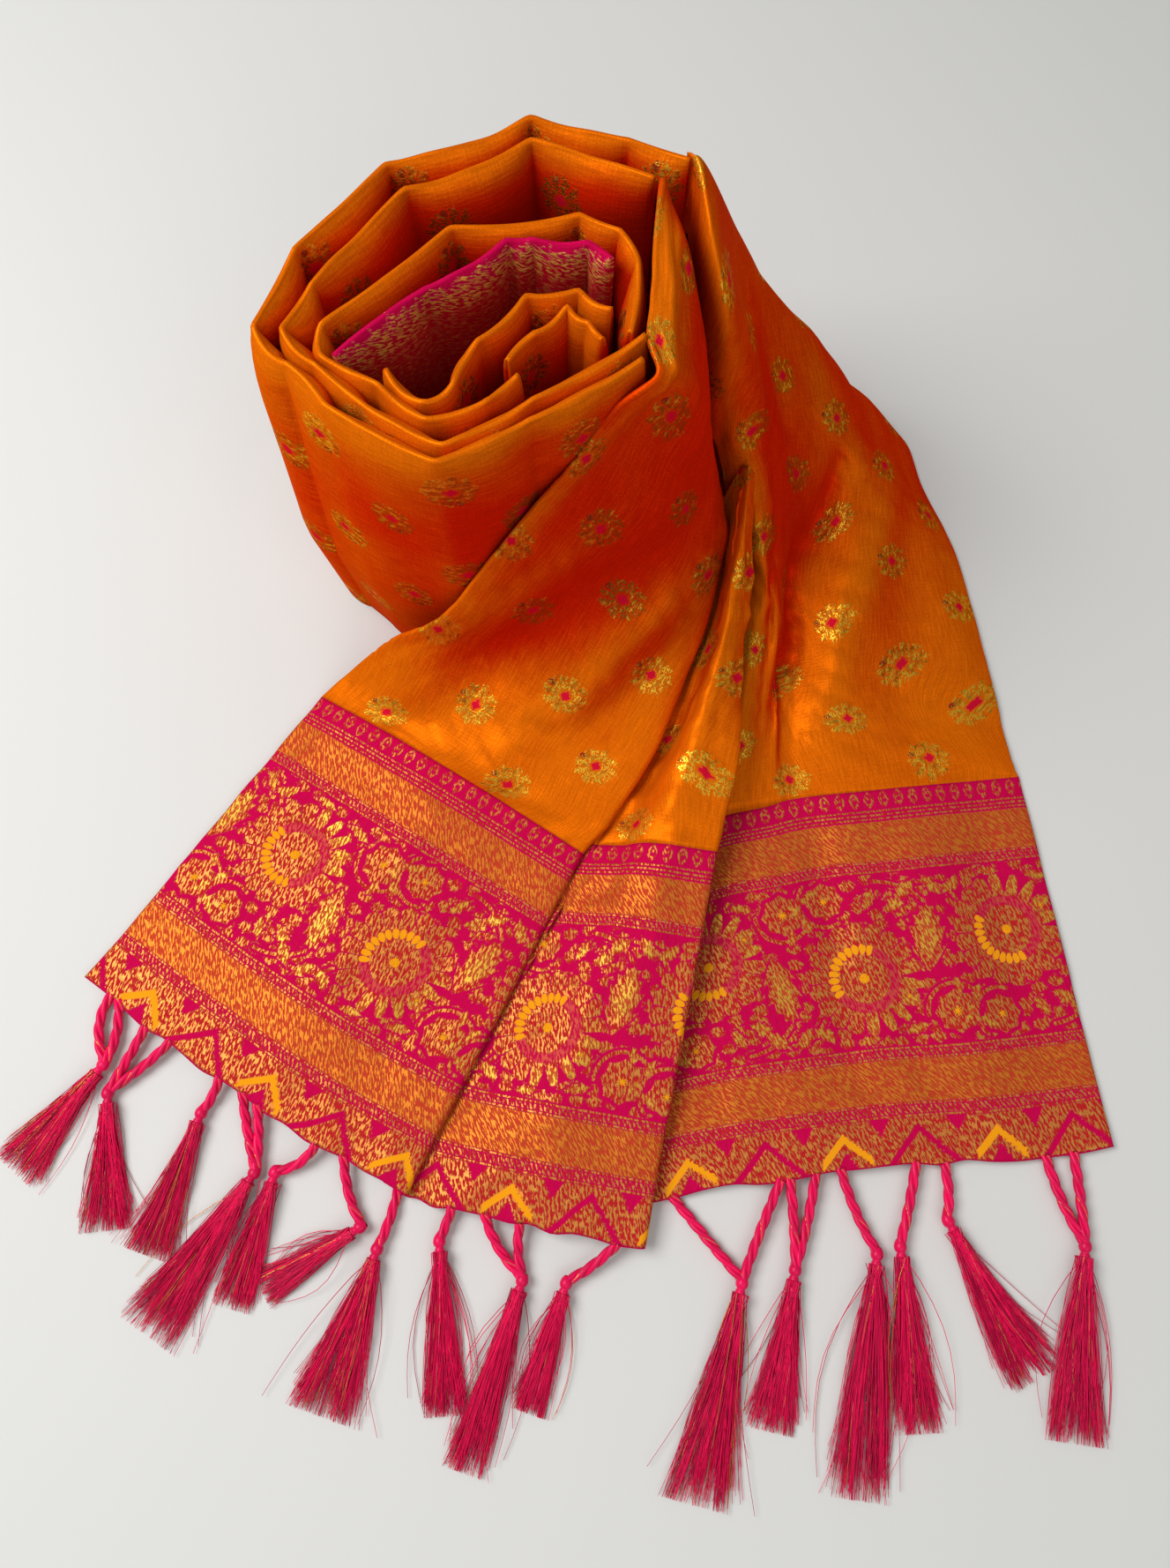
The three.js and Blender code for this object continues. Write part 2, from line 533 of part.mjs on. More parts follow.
function addCoil() {
  add('roll_turn_outer', turn(TURN_OUTER, TURN_WALL, COIL_HEIGHT), SILK);
  add('roll_turn_second', turn(TURN_SECOND, TURN_WALL, COIL_HEIGHT - 1), SILK);
  add('roll_turn_third', turn(TURN_THIRD, TURN_WALL, COIL_HEIGHT - 2), SILK);
  add('roll_core_end', turn(CORE_END, PANEL_WALL, COIL_HEIGHT - 3), BROCADE);
  add('roll_fold_inner', turn(FOLD_INNER, TURN_WALL, COIL_HEIGHT - 4), SILK);
  add('roll_fold_eye', turn(FOLD_EYE, TURN_WALL, COIL_HEIGHT - 5), SILK);
}

function addFan() {
  const falls = [
    { name: 'left', sections: FALL_LEFT, hem: HEM_LEFT, down: 24, across: 9 },
    { name: 'centre', sections: FALL_CENTRE, hem: HEM_CENTRE, down: 15, across: 6 },
    { name: 'right', sections: FALL_RIGHT, hem: HEM_RIGHT, down: 18, across: 15 },
  ];
  const backs = [];
  const hemLines = [];
  for (const { name, sections, hem, down, across } of falls) {
    const fall = surface(sections, down, across);
    const border = surface(borderSections(sections[sections.length - 1], hem), BORDER_ROWS, across);
    hemLines.push(border[BORDER_ROWS]);
    add(`fall_${name}`, sheet(fall), SILK);
    add(`border_${name}`, sheet(border), BROCADE);
    backs.push(sunk(fall, PANEL_WALL), sunk(border, PANEL_WALL));
  }
  add('hidden_folds', hiddenFolds(backs), SILK);
  return hemLines;
}

addCoil();
const hemLines = addFan();
TASSELS.forEach((row, i) => add(`tassel_${String(i + 1).padStart(2, '0')}`, tassel(row, hemLines), THREAD));

export default object;
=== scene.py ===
import math
from functools import reduce

import bpy
import numpy as np
from mathutils import Euler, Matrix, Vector
from mathutils.bvhtree import BVHTree


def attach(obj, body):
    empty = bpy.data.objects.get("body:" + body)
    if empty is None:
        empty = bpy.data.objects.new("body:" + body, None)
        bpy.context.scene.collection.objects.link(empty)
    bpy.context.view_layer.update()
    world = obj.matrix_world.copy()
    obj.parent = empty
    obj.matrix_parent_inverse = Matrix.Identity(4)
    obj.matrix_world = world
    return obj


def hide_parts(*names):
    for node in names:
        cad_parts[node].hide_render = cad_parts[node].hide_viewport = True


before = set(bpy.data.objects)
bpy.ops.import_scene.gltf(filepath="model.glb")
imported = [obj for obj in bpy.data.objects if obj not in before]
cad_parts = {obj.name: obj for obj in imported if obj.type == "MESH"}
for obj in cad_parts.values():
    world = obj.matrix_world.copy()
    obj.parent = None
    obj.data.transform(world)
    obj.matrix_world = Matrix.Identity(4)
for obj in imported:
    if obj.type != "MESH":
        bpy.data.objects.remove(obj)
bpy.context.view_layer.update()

bl_info = {
    "name": "Silk Saree",
    "version": (1, 0, 0),
    "blender": (4, 5, 0),
    "location": "3D View > Sidebar > Saree",
    "description": "A woven silk saree: an upright coil, a fanned end with a brocade border, and tassels",
    "category": "Add Mesh",
}

# Lengths in the tables are millimetres. Places are given from the datum under the fanned end, and CENTRE is
# the middle of the whole outline from that datum.
MM = 0.001
CENTRE = (-11.47, 95.27, 0.0)
COIL_HEIGHT = 185.0
TURN_WALL = 4.0

# Points down each fall of the fan, by column from its left edge to its right one: the place x, y, z, and
# where that point is on the cloth, across from the datum thread and up from the hem.
FALL_LEFT = {
    "edge": (
        (28, 305.5, 184, 41, 428), (25, 284, 184, 34, 408), (24, 265, 183, 29, 389),
        (22, 245, 183, 25, 370), (25, 230, 181, 25, 355), (11, 221.5, 173, 25, 338),
        (-4, 212.6, 154, 27, 314), (-20.5, 202.6, 134, 28, 283), (-36, 195.5, 113, 29, 258),
        (-60, 191.5, 71, 27, 226), (-84, 194, 40, 13, 202), (-106, 189, 15, 2, 180),
        (-122, 180, 4, 0, 165),
    ),
    "shoulder": (
        (29, 306, 180, 51, 426), (30, 285, 182, 46, 406), (31, 266, 181, 45, 386),
        (31, 248, 178, 43, 369), (34, 236, 170, 50, 355), (22, 228, 152, 56, 334),
        (9, 217, 128, 55, 309), (-5, 204.5, 106, 57, 281), (-20, 196, 88, 54, 257),
        (-38, 184.5, 56, 56, 225), (-57, 177, 38, 46, 206), (-77, 168, 20, 38, 184),
        (-89, 160, 11, 39, 165),
    ),
    "mid": (
        (31, 306.5, 168, 65, 422), (37, 286, 172, 67, 399), (40, 267, 164, 72, 379),
        (42, 251, 152, 77, 365), (45, 242, 134, 86, 352), (40, 235, 108, 84, 332),
        (34, 222, 86, 87, 307), (23, 205, 66, 95, 278), (10, 188, 50, 98, 251), (-5, 168, 34, 97, 222),
        (-21, 149, 24, 96, 194), (-35, 136, 18, 90, 176), (-45, 133, 12, 91, 165),
    ),
    "foot": (
        (34, 307, 140, 84, 415), (40, 287, 120, 95, 388), (46, 268, 105, 109, 367),
        (52, 256, 88, 121, 349), (57, 250, 74, 126, 333), (60, 242, 62, 127, 318),
        (60, 230, 50, 131, 303), (54, 205, 38, 136, 280), (45, 184, 30, 137, 256),
        (31, 152, 22, 141, 221), (16, 128, 17, 142, 191), (6, 115, 14, 139, 177),
        (-3, 106, 11, 141, 165),
    ),
}
HEM_LEFT = (
    (-218, 50, 2.6, 0, 0),  # edge
    (-175, 20, 6, 52, 0),  # shoulder
    (-123, -13, 8, 114, 0),  # mid
    (-76, -37, 9, 167, 0),  # foot
)
FALL_CENTRE = {
    "edge": (
        (65, 254, 83, 61, 346), (55, 246, 42, 29, 321), (46, 222, 28, 15, 294), (37, 194, 23, 14, 260),
        (17, 152, 12, 11, 213), (-3, 111, 5, 3, 165),
    ),
    "tuck": (
        (66, 252.5, 86, 65, 344), (61.5, 242, 50, 40, 318), (58, 219, 36, 30, 294),
        (50, 191, 26, 22, 269), (33, 149, 16, 29, 214), (6, 109, 9, 13, 165),
    ),
    "mid": (
        (67.5, 251, 88, 68, 343), (67, 236, 68, 59, 319), (64, 216, 56, 52, 294),
        (58, 189, 44, 46, 262), (46, 146, 31, 55, 206), (28, 107, 22, 38, 165),
    ),
    "foot": (
        (70, 250, 85, 68, 339), (72, 234, 60, 64, 310), (72, 214, 48, 61, 287), (69, 191, 38, 60, 260),
        (66, 147, 30, 67, 217), (55, 103, 24, 66, 165),
    ),
}
HEM_CENTRE = (
    (-84, -34, 2.6, -44, 0),  # edge
    (-71, -41, 4, -29, 0),  # tuck
    (-28, -50, 9, 15, 0),  # mid
    (22, -59, 9, 66, 0),  # foot
)
FALL_RIGHT = {
    "edge": (
        (35.4, 313.5, 150, -70, 406), (37, 312, 150, -69, 404), (39, 309, 148, -66, 398),
        (42.5, 288, 118, -47, 369), (49, 269, 98, -26, 350), (56, 262, 80, -26, 332),
        (61, 255, 61, -26, 312), (67, 244, 34, -25, 286), (69, 211, 22, -13, 250),
        (54, 119, 5, -15, 165),
    ),
    "ridge": (
        (35.4, 316, 185, -55, 438), (37.5, 315, 185, -54, 436), (40.5, 311, 184, -58, 439),
        (45, 288, 174, -49, 424), (53, 270, 152, -33, 400), (63, 264, 106, -7, 354),
        (70, 250, 73, -11, 319), (77, 231, 46, -6, 286), (78, 206, 28, -3, 259), (64, 123, 7, -4, 165),
    ),
    "slope": (
        (36, 318, 135, -6, 452), (46, 325, 135, -4, 440), (60, 325, 135, 0, 425),
        (65, 300, 120, 3, 398), (75, 284, 96, 9, 365), (82, 268, 72, 10, 325), (84, 246, 54, 6, 300),
        (87, 220, 34, 14, 270), (88, 187, 20, 23, 231), (82, 127, 6, 15, 165),
    ),
    "valley": (
        (36.5, 319.5, 98, 32, 455), (54, 331, 98, 34, 434), (77, 331, 98, 36, 407),
        (90, 302, 76, 38, 366), (102, 283, 50, 39, 331), (103, 262, 34, 43, 306),
        (98, 231, 24, 46, 274), (94, 200, 16, 27, 240), (92, 170, 10, 39, 208), (96, 131, 6, 29, 165),
    ),
    "crest": (
        (37.5, 321, 56, 74, 456), (68, 336, 56, 75, 421), (107, 332, 56, 73, 379),
        (121, 296, 46, 70, 339), (133, 275, 34, 82, 311), (131, 246, 26, 80, 279),
        (126, 213, 20, 73, 246), (123, 185, 15, 70, 221), (124, 156, 12, 62, 186),
        (128, 134, 8, 61, 165),
    ),
    "foot": (
        (39, 322, 3, 126, 456), (92, 338, 3, 127, 401), (151, 323, 3, 132, 345),
        (165, 290, 3, 139, 311), (177, 257, 3, 134, 279), (183, 229, 3, 132, 251),
        (190, 185, 3, 129, 204), (193, 163, 3, 139, 185), (196, 146, 3, 130, 166),
        (198, 142, 3, 132, 165),
    ),
}
HEM_RIGHT = (
    (27, -42, 3, -64, 0),  # edge
    (66, -35, 5, -25, 0),  # ridge
    (100, -31, 6, 9.5, 0),  # slope
    (140, -27, 5, 50, 0),  # valley
    (178, -25, 4, 88, 0),  # crest
    (222, -20, 2.6, 132, 0),  # foot
)
TURN_OUTER = (
    (36.4, 313.7, 0.5, 0), (15, 322, 0, 2), (-19, 331, -2, 3), (-69, 312, 0, 5), (-98, 277, 0, 8),
    (-110, 247, 2, 10), (-98, 233, -1, 10), (-85, 218, 1, 7), (-48, 197, 1, 0), (-18, 212, 1, 0),
    (19, 234.3, 0, 0),
)
TURN_SECOND = (
    (24, 307, 1, 0), (-19, 323, -1.5, 0), (-62, 302, 1, 0), (-92, 264, 0, 0), (-101, 247, 1.5, 0),
    (-89, 233, 0, 0), (-73, 219, 1, 0), (-46, 203.2, 1, 0), (-17, 220, 1, 0), (20, 244, 0, 0),
)
TURN_THIRD = (
    (15, 246, 1, 0), (18, 273, 1.5, 0), (12, 286, 0, 0), (-2, 293, -1, 0), (-46, 287, 0, 0),
    (-88, 249, 1.5, 0), (-87.3, 237.2, 0, 0), (-68, 226, 0.5, 0), (-52, 213.5, 1, 0), (-32, 220, 0, 0),
    (-22, 230, 0, 0),
)
CORE_END = (
    (9, 275, 1, 0), (1, 282, 0, 0), (-18, 283, 0.5, 0), (-27, 283, -1, 0), (-54, 264, 1, 0),
    (-83.3, 237.9, 0, 0),
)
FOLD_INNER = (
    (-66, 233, 2, 0), (-53, 221, 1.5, 0), (-43, 229, -1, 0), (-36, 244, 1.5, 0), (-20, 262, 1, 0),
    (-2, 264, 1, 0), (9, 256, 0, 0),
)
FOLD_EYE = (
    (-26, 237, -1, 0), (-17, 248, 1, 0), (-6, 258.6, 1, 0), (1, 252, 0, 0), (6, 245, 0, 0),
)
TASSELS = (
    (-207, 13, 48, 232, 20, ((-209, 40, -214, 31), (-205, 39, -200, 27))),
    (-203, 1, 48, 276, 19, ((-190, 29, -196, 16), (-179, 22, -189, 12))),
    (-163, -7, 52, 252, 19, ((-156, 7, -158, 0),)),
    (-139, -31, 66, 237, 22, ((-147, 0, -143, -14), (-140, -4, -137, -16))),
    (-130, -31, 48, 255, 14, ((-113, -20, -119, -29),)),
    (-94, -52, 40, 212, 13, ((-103, -28, -100, -40),)),
    (-86, -61, 58, 252, 26, ((-79, -38, -80, -48),)),
    (-60, -58, 58, 274, 16, ((-55, -44, -57, -50),)),
    (-26, -73, 66, 252, 15, ((-42, -48, -38, -60), (-27, -52, -29, -61))),
    (-8, -74, 44, 252, 13, ((13, -60, 3, -68),)),
    (64, -74, 75, 256, 24, ((37, -43, 50, -56), (82, -34, 70, -58))),
    (86, -69, 54, 258, 20, ((86, -34, 87, -52), (97, -32.5, 93, -50))),
    (120, -63, 82, 262, 22, ((107, -30.5, 112, -48),)),
    (130, -60, 62, 273, 15, ((139, -28.5, 135, -45),)),
    (151, -50, 60, 298, 20, ((151, -27.5, 153, -38),)),
    (206, -60, 66, 262, 21, ((194, -24, 198, -44), (206, -23, 207, -42))),
)

# Soft creases, by fall: start, middle and end on the cloth (across, up), width, and height, which is
# negative for a trough.
CREASES_LEFT = (
    (62, 305, 36, 228, 14, 184, 13, 2.6), (100, 318, 68, 236, 42, 180, 12, -4.4),
    (124, 310, 104, 246, 80, 174, 11, 3.4), (128, 190, 122, 222, 122, 262, 8, -1.2),
    (46, 330, 50, 372, 62, 412, 7, -2.4), (30, 300, 34, 350, 42, 400, 5, 1.2),
    (84, 340, 80, 372, 76, 404, 8, 1.6), (12, 40, 14, 110, 18, 166, 9, 1.0),
    (44, 30, 42, 100, 40, 176, 12, -1.3), (84, 20, 80, 90, 78, 170, 14, 1.4),
    (130, 10, 126, 84, 118, 160, 12, -1.2), (8, 222, 30, 238, 56, 244, 5, 0.7),
    (70, 196, 96, 206, 118, 204, 5, -0.6),
)
CREASES_CENTRE = (
    (46, 60, 48, 190, 56, 290, 8, 2.0), (20, 90, 26, 200, 36, 300, 7, -2.2),
    (-12, 20, 0, 80, 12, 150, 9, -1.4), (20, 10, 22, 70, 30, 150, 9, 1.2),
)
CREASES_RIGHT = (
    (64, 330, 36, 262, 18, 205, 8, -4.0), (98, 318, 68, 250, 46, 188, 12, 3.2),
    (112, 316, 96, 250, 88, 176, 11, -2.0), (122, 180, 118, 236, 112, 300, 9, 1.6),
    (-8, 200, -4, 256, -14, 340, 4, 1.6), (8, 190, 10, 256, 6, 340, 5, -1.8),
    (0, 350, -8, 392, -20, 430, 6, 1.6), (24, 350, 22, 396, 30, 430, 7, -2.2),
    (58, 350, 62, 384, 66, 420, 8, 1.6), (96, 330, 92, 372, 98, 412, 8, -1.6),
    (84, 10, 80, 84, 82, 160, 14, 1.6), (30, 10, 32, 90, 34, 170, 10, -1.6),
    (112, 30, 108, 100, 110, 168, 10, -1.2), (60, 20, 58, 90, 60, 160, 8, -0.9),
    (90, 214, 108, 226, 124, 220, 5, 0.7),
)

# Painted light and shade of the silk, by fall: the share of its lit orange over its red at heights up the
# cloth, and along strokes of painted highlight (positive) and painted shade (negative) that are given as
# the creases are.
PAINTED_LIGHT_LEFT = {
    "up": (165, 200, 230, 265, 330, 430), "share": (0.84, 0.76, 0.62, 0.46, 0.42, 0.62),
    "strokes": (
        (44, 424, 36, 385, 42, 345, 15, 0.55), (30, 336, 30, 285, 24, 222, 8, 0.55),
        (126, 318, 128, 268, 134, 200, 9, 0.34), (62, 300, 36, 228, 14, 190, 8, 0.3),
        (96, 306, 70, 240, 46, 196, 11, -0.34), (118, 300, 96, 238, 80, 190, 6, 0.24),
        (100, 330, 84, 370, 82, 410, 12, -0.4),
    ),
}
PAINTED_LIGHT_CENTRE = {
    "up": (165, 215, 260, 345), "share": (0.90, 0.82, 0.74, 0.62),
    "strokes": ((46, 170, 48, 230, 56, 300, 7, 0.3), (20, 180, 28, 230, 40, 300, 7, -0.3)),
}
PAINTED_LIGHT_RIGHT = {
    "up": (165, 200, 240, 290, 350, 456), "share": (0.80, 0.74, 0.62, 0.50, 0.54, 0.62),
    "strokes": (
        (-54, 436, -40, 402, -9, 345, 8, 0.5), (-8, 345, -8, 290, -4, 190, 7, 0.45),
        (64, 335, 36, 262, 18, 205, 9, -0.42), (10, 400, 12, 330, 6, 250, 8, -0.38),
        (98, 318, 68, 250, 46, 188, 9, 0.3), (124, 330, 128, 262, 124, 190, 9, 0.2),
        (40, 400, 60, 340, 84, 290, 10, 0.2), (-30, 400, -34, 360, -30, 310, 7, -0.3),
    ),
}

# Each fall's open table holds its painted light and shade.
FALLS = {
    "left": {"down": 150, "across": 84, "sections": FALL_LEFT, "hem": HEM_LEFT, "creases": CREASES_LEFT,
             "open": PAINTED_LIGHT_LEFT, "calm": 420},
    "centre": {"down": 90, "across": 50, "sections": FALL_CENTRE, "hem": HEM_CENTRE,
               "creases": CREASES_CENTRE, "open": PAINTED_LIGHT_CENTRE, "calm": 350},
    "right": {"down": 140, "across": 130, "sections": FALL_RIGHT, "hem": HEM_RIGHT,
              "creases": CREASES_RIGHT, "open": PAINTED_LIGHT_RIGHT, "calm": 420},
}
BORDER_ROWS = 90

# The coil's turns: corners, wall, height under the coil's top, and share of the puff between its corners.
TURNS = {
    "roll_turn_outer": {"corners": TURN_OUTER, "wall": TURN_WALL, "lower": 0.0, "puff": 1.0},
    "roll_turn_second": {"corners": TURN_SECOND, "wall": TURN_WALL, "lower": 1.0, "puff": 1.0},
    "roll_turn_third": {"corners": TURN_THIRD, "wall": TURN_WALL, "lower": 2.0, "puff": 0.7},
    "roll_core_end": {"corners": CORE_END, "wall": 2.0, "lower": 3.0, "puff": 0.5},
    "roll_fold_inner": {"corners": FOLD_INNER, "wall": TURN_WALL, "lower": 4.0, "puff": 0.7},
    "roll_fold_eye": {"corners": FOLD_EYE, "wall": TURN_WALL, "lower": 5.0, "puff": 0.5},
}


def colour_property(name, description, default):
    return bpy.props.FloatVectorProperty(
        name=name, description=description, subtype="COLOR", size=3, min=0, max=1, default=default)


def length_property(name, description, least, most, default):
    return bpy.props.FloatProperty(
        name=name, description=description, subtype="DISTANCE", unit="LENGTH", min=least, max=most,
        default=default)


class SareeCloth(bpy.types.PropertyGroup):
    """Sizes and colours of the woven cloth"""

    # Painted light and shade: the silk colour is the lit orange, and the warp colour is both the red warp
    # and painted shade, mixed in by the painted light share where the cloth faces away, in troughs and deep
    # in the coil.
    silk: colour_property(
        "Silk", "Colour of the silk where it lies open to the light", (0.71, 0.136, 0.002))
    warp_and_shade: colour_property("Warp", "Colour of the crossing threads, which show in the silk's folds",
                          (0.64, 0.017, 0.001))
    ground: colour_property("Border Ground", "Colour of the end border's ground", (0.52, 0.003, 0.062))
    gold: colour_property("Gold Thread", "Colour of the metal thread in the end border and the tassels",
                          (0.61, 0.265, 0.052))
    yellow: colour_property("Yellow Thread", "Colour of the plain yellow accents in the border",
                            (0.80, 0.30, 0.008))
    thickness: length_property("Thickness", "Thickness of one layer of cloth", 0.0001, 0.002, 0.0004)
    rumple: length_property("Rumple", "Height of the small unevenness of the laid cloth", 0, 0.003, 0.00045)


class SareeTassels(bpy.types.PropertyGroup):
    """Sizes and colours of the tassels"""

    thread: colour_property("Thread", "Colour of the tassels' thread", (0.69, 0.003, 0.074))
    strands: bpy.props.IntProperty(
        name="Strands", description="Fine threads in each tassel's skirt", min=20, max=600, default=330)
    radius: length_property("Thread Radius", "Radius of one fine thread", 0.0001, 0.001, 0.00022)


class SareeStage(bpy.types.PropertyGroup):
    """The floor and the light"""

    floor: colour_property("Floor", "Colour of the floor", (0.63, 0.63, 0.61))
    light: bpy.props.FloatProperty(
        name="Light", description="Power of the large soft light", subtype="POWER", unit="POWER",
        min=0, max=500, default=16.9)


def through(points, t):
    """Smooth curve through a row of points, read at every t from 0 to 1."""
    spans = len(points) - 1
    at = np.minimum(t * spans, spans - 1e-6)
    i = np.floor(at).astype(int)
    shape = (-1,) + (1,) * (points.ndim - 1)
    f = (at - i).reshape(shape)
    a, b = points[i], points[i + 1]
    before = np.where((i > 0).reshape(shape), points[np.maximum(i - 1, 0)], 2 * a - b)
    after = np.where((i + 2 <= spans).reshape(shape), points[np.minimum(i + 2, spans)], 2 * b - a)
    f2, f3 = f * f, f * f * f
    return ((2 * f3 - 3 * f2 + 1) * a + (f3 - 2 * f2 + f) * (b - before) / 2
            + (3 * f2 - 2 * f3) * b + (f3 - f2) * (after - a) / 2)


def surface(sections, down, across):
    """A grid through a table of sections, down by across; each place is x, y, z, across, up."""
    columns = through(np.swapaxes(sections, 0, 1), np.linspace(0, 1, across + 1))
    return through(np.swapaxes(columns, 0, 1), np.linspace(0, 1, down + 1))


def normals(places):
    """Unit normals of a grid, on the side that faces up."""
    down = np.gradient(places, axis=0)
    across = np.gradient(places, axis=1)
    out = np.cross(down, across)
    length = np.linalg.norm(out, axis=2, keepdims=True)
    return out / np.maximum(length, 1e-9)


def smooth_field(shape, scale, seed):
    """Seeded soft unevenness over a grid, about -1 to 1; scale is the number of swells each way."""
    source = np.random.default_rng(seed)
    coarse = source.uniform(-1, 1, (scale[0] + 3, scale[1] + 3, 1))
    return surface(coarse, shape[0] - 1, shape[1] - 1)[..., 0]


PAINTED_LIGHT_WAY = np.array([-0.46, -0.10, 0.88])     # painted light: silk that faces this way, toward the key light, is painted in its lit colour
PAINTED_LIGHT_FACING = (0.30, 0.98)      # how far a surface faces that way, for none of the painted light and for all


def painted_light_share(places):
    """Painted light share: how far the silk takes its lit colour, from how far its surface faces a fixed
    way toward the key light.
    """
    low, high = PAINTED_LIGHT_FACING
    return np.clip((normals(places) @ PAINTED_LIGHT_WAY - low) / (high - low), 0, 1)


CREASE_STEPS = 13
CREASE_STRETCH = 0.8     # distances up the cloth count for less, so that a crease is longer than wide
CREASE_DEPTH = 1.25      # scale of the creases' heights


def crease_height(cloth, creases):
    """Height of the listed creases over cloth places in millimetres."""
    height = np.zeros(cloth.shape[:2])
    steps = np.linspace(0, 1, CREASE_STEPS)
    for x0, y0, x1, y1, x2, y2, width, rise in creases:
        nearest = np.full(height.shape, 1e9)
        share = np.zeros(height.shape)
        for t in steps:
            x = (1 - t) ** 2 * x0 + 2 * t * (1 - t) * x1 + t * t * x2
            y = (1 - t) ** 2 * y0 + 2 * t * (1 - t) * y1 + t * t * y2
            far = (cloth[..., 0] - x) ** 2 + ((cloth[..., 1] - y) * CREASE_STRETCH) ** 2
            share = np.where(far < nearest, t, share)
            nearest = np.minimum(nearest, far)
        fade = np.sin(np.pi * np.clip(share * 0.9 + 0.05, 0, 1)) ** 0.7
        height += rise * fade * np.exp(-nearest / width ** 2)
    return height


def cloth_object(name, places, quads, cloth):
    """A smooth mesh piece: places in metres, four-sided faces, and cloth coordinates by place in metres."""
    mesh = bpy.data.meshes.new(name)
    mesh.from_pydata(places.tolist(), [], quads.tolist())
    layer = mesh.uv_layers.new(name="Cloth")
    layer.data.foreach_set("uv", cloth[quads.reshape(-1)].ravel())
    mesh.polygons.foreach_set("use_smooth", np.ones(len(quads), dtype=bool))
    piece = bpy.data.objects.new(name, mesh)
    bpy.context.scene.collection.objects.link(piece)
    return piece


FLOOR_GAP = 0.0003       # the least height of any place, in metres


def joined(name, runs):
    """One piece from several runs of places, faces and cloth coordinates."""
    starts = np.cumsum([0] + [len(run[0]) for run in runs])
    places = np.concatenate([run[0] for run in runs])
    places[:, 2] = np.maximum(places[:, 2], FLOOR_GAP)
    quads = np.concatenate([run[1] + start for run, start in zip(runs, starts)])
    return cloth_object(name, places, quads, np.concatenate([run[2] for run in runs]))


def grid_run(grid):
    """A grid's places in metres, its faces and its cloth coordinates."""
    rows, columns = grid.shape[:2]
    places = (grid[..., :3] - np.array(CENTRE)) * MM
    index = np.arange(rows * columns).reshape(rows, columns)
    quads = np.stack([index[:-1, :-1], index[1:, :-1], index[1:, 1:], index[:-1, 1:]], -1)
    return places.reshape(-1, 3), quads.reshape(-1, 4), grid[..., 3:5].reshape(-1, 2) * MM


def grid_object(name, grid, fold=None):
    """One sheet of cloth over a grid, with its painted light and shade share by place, if given."""
    piece = joined(name, [grid_run(grid)])
    # fold holds the painted light and shade share, kept as a mesh attribute.
    if fold is not None:
        piece.data.attributes.new("PaintedLight", "FLOAT", "POINT").data.foreach_set("value", fold.ravel())
    return piece


def thicken(piece, thickness):
    """One layer of cloth, its face on the grid."""
    layer = piece.modifiers.new("Layer", "SOLIDIFY")
    layer.thickness = thickness
    layer.offset = -1


TUCK = 9.0                                # length of cloth tucked in behind a folded edge
ROLL_ANGLES = (30, 60, 90, 120, 150, 180)
TUCK_SHARES = (0.35, 0.7, 1.0)
ROLL_COLUMNS = len(ROLL_ANGLES) + len(TUCK_SHARES)
TUCK_DROP = 0.4                           # how far the tucked cloth leans away from its fall


def rolled(grid, side, radius):
    """The grid with one of its side edges folded under: a half roll of this radius and a tucked flap."""
    column, beside = (0, 1) if side == "left" else (-1, -2)
    edge = grid[:, column]
    up = normals(grid[..., :3])[:, column]
    out = edge - grid[:, beside]
    step = np.linalg.norm(out[:, :3], axis=1, keepdims=True)
    out = out / np.maximum(step, 1e-6)
    width = np.linalg.norm(grid[:, -1, :3] - grid[:, 0, :3], axis=1, keepdims=True)
    radius = np.minimum(radius, 0.3 * width)
    tuck = np.minimum(TUCK, 0.6 * width)
    extra = []
    for angle in np.radians(ROLL_ANGLES):
        place = edge + out * radius * math.sin(angle)
        place[:, :3] += up * radius * (math.cos(angle) - 1)
        place[:, 3:5] = edge[:, 3:5] + out[:, 3:5] * radius * angle
        extra.append(place)
    under = extra[-1]
    for reach in TUCK_SHARES:
        place = under - out * tuck * reach
        place[:, 3:5] = under[:, 3:5] + out[:, 3:5] * tuck * reach
        place[:, :3] -= up * TUCK_DROP * reach
        extra.append(place)
    columns = np.stack(extra, 1)
    if side == "left":
        return np.concatenate([columns[:, ::-1], grid], 1)
    return np.concatenate([grid, columns], 1)


HEM_REACH = 22.0         # height over the hem up to which its edge waves
HEM_WAVE = 1.0
HEM_LIFT = 0.9
HEM_FLOOR = 1.6          # the least height of a fall over the floor
CALM_REACH = 60.0        # length below a fall's calm top over which its creases set in
SWELLS_WIDE = (26, 12)   # of the small unevenness, down and across
SWELLS_FINE = (60, 26)
FINE_SHARE = 0.35
FACING_SHARE = 0.36      # how far painted light, from the way the cloth faces, changes its colour
FACING_MIDDLE = 0.75


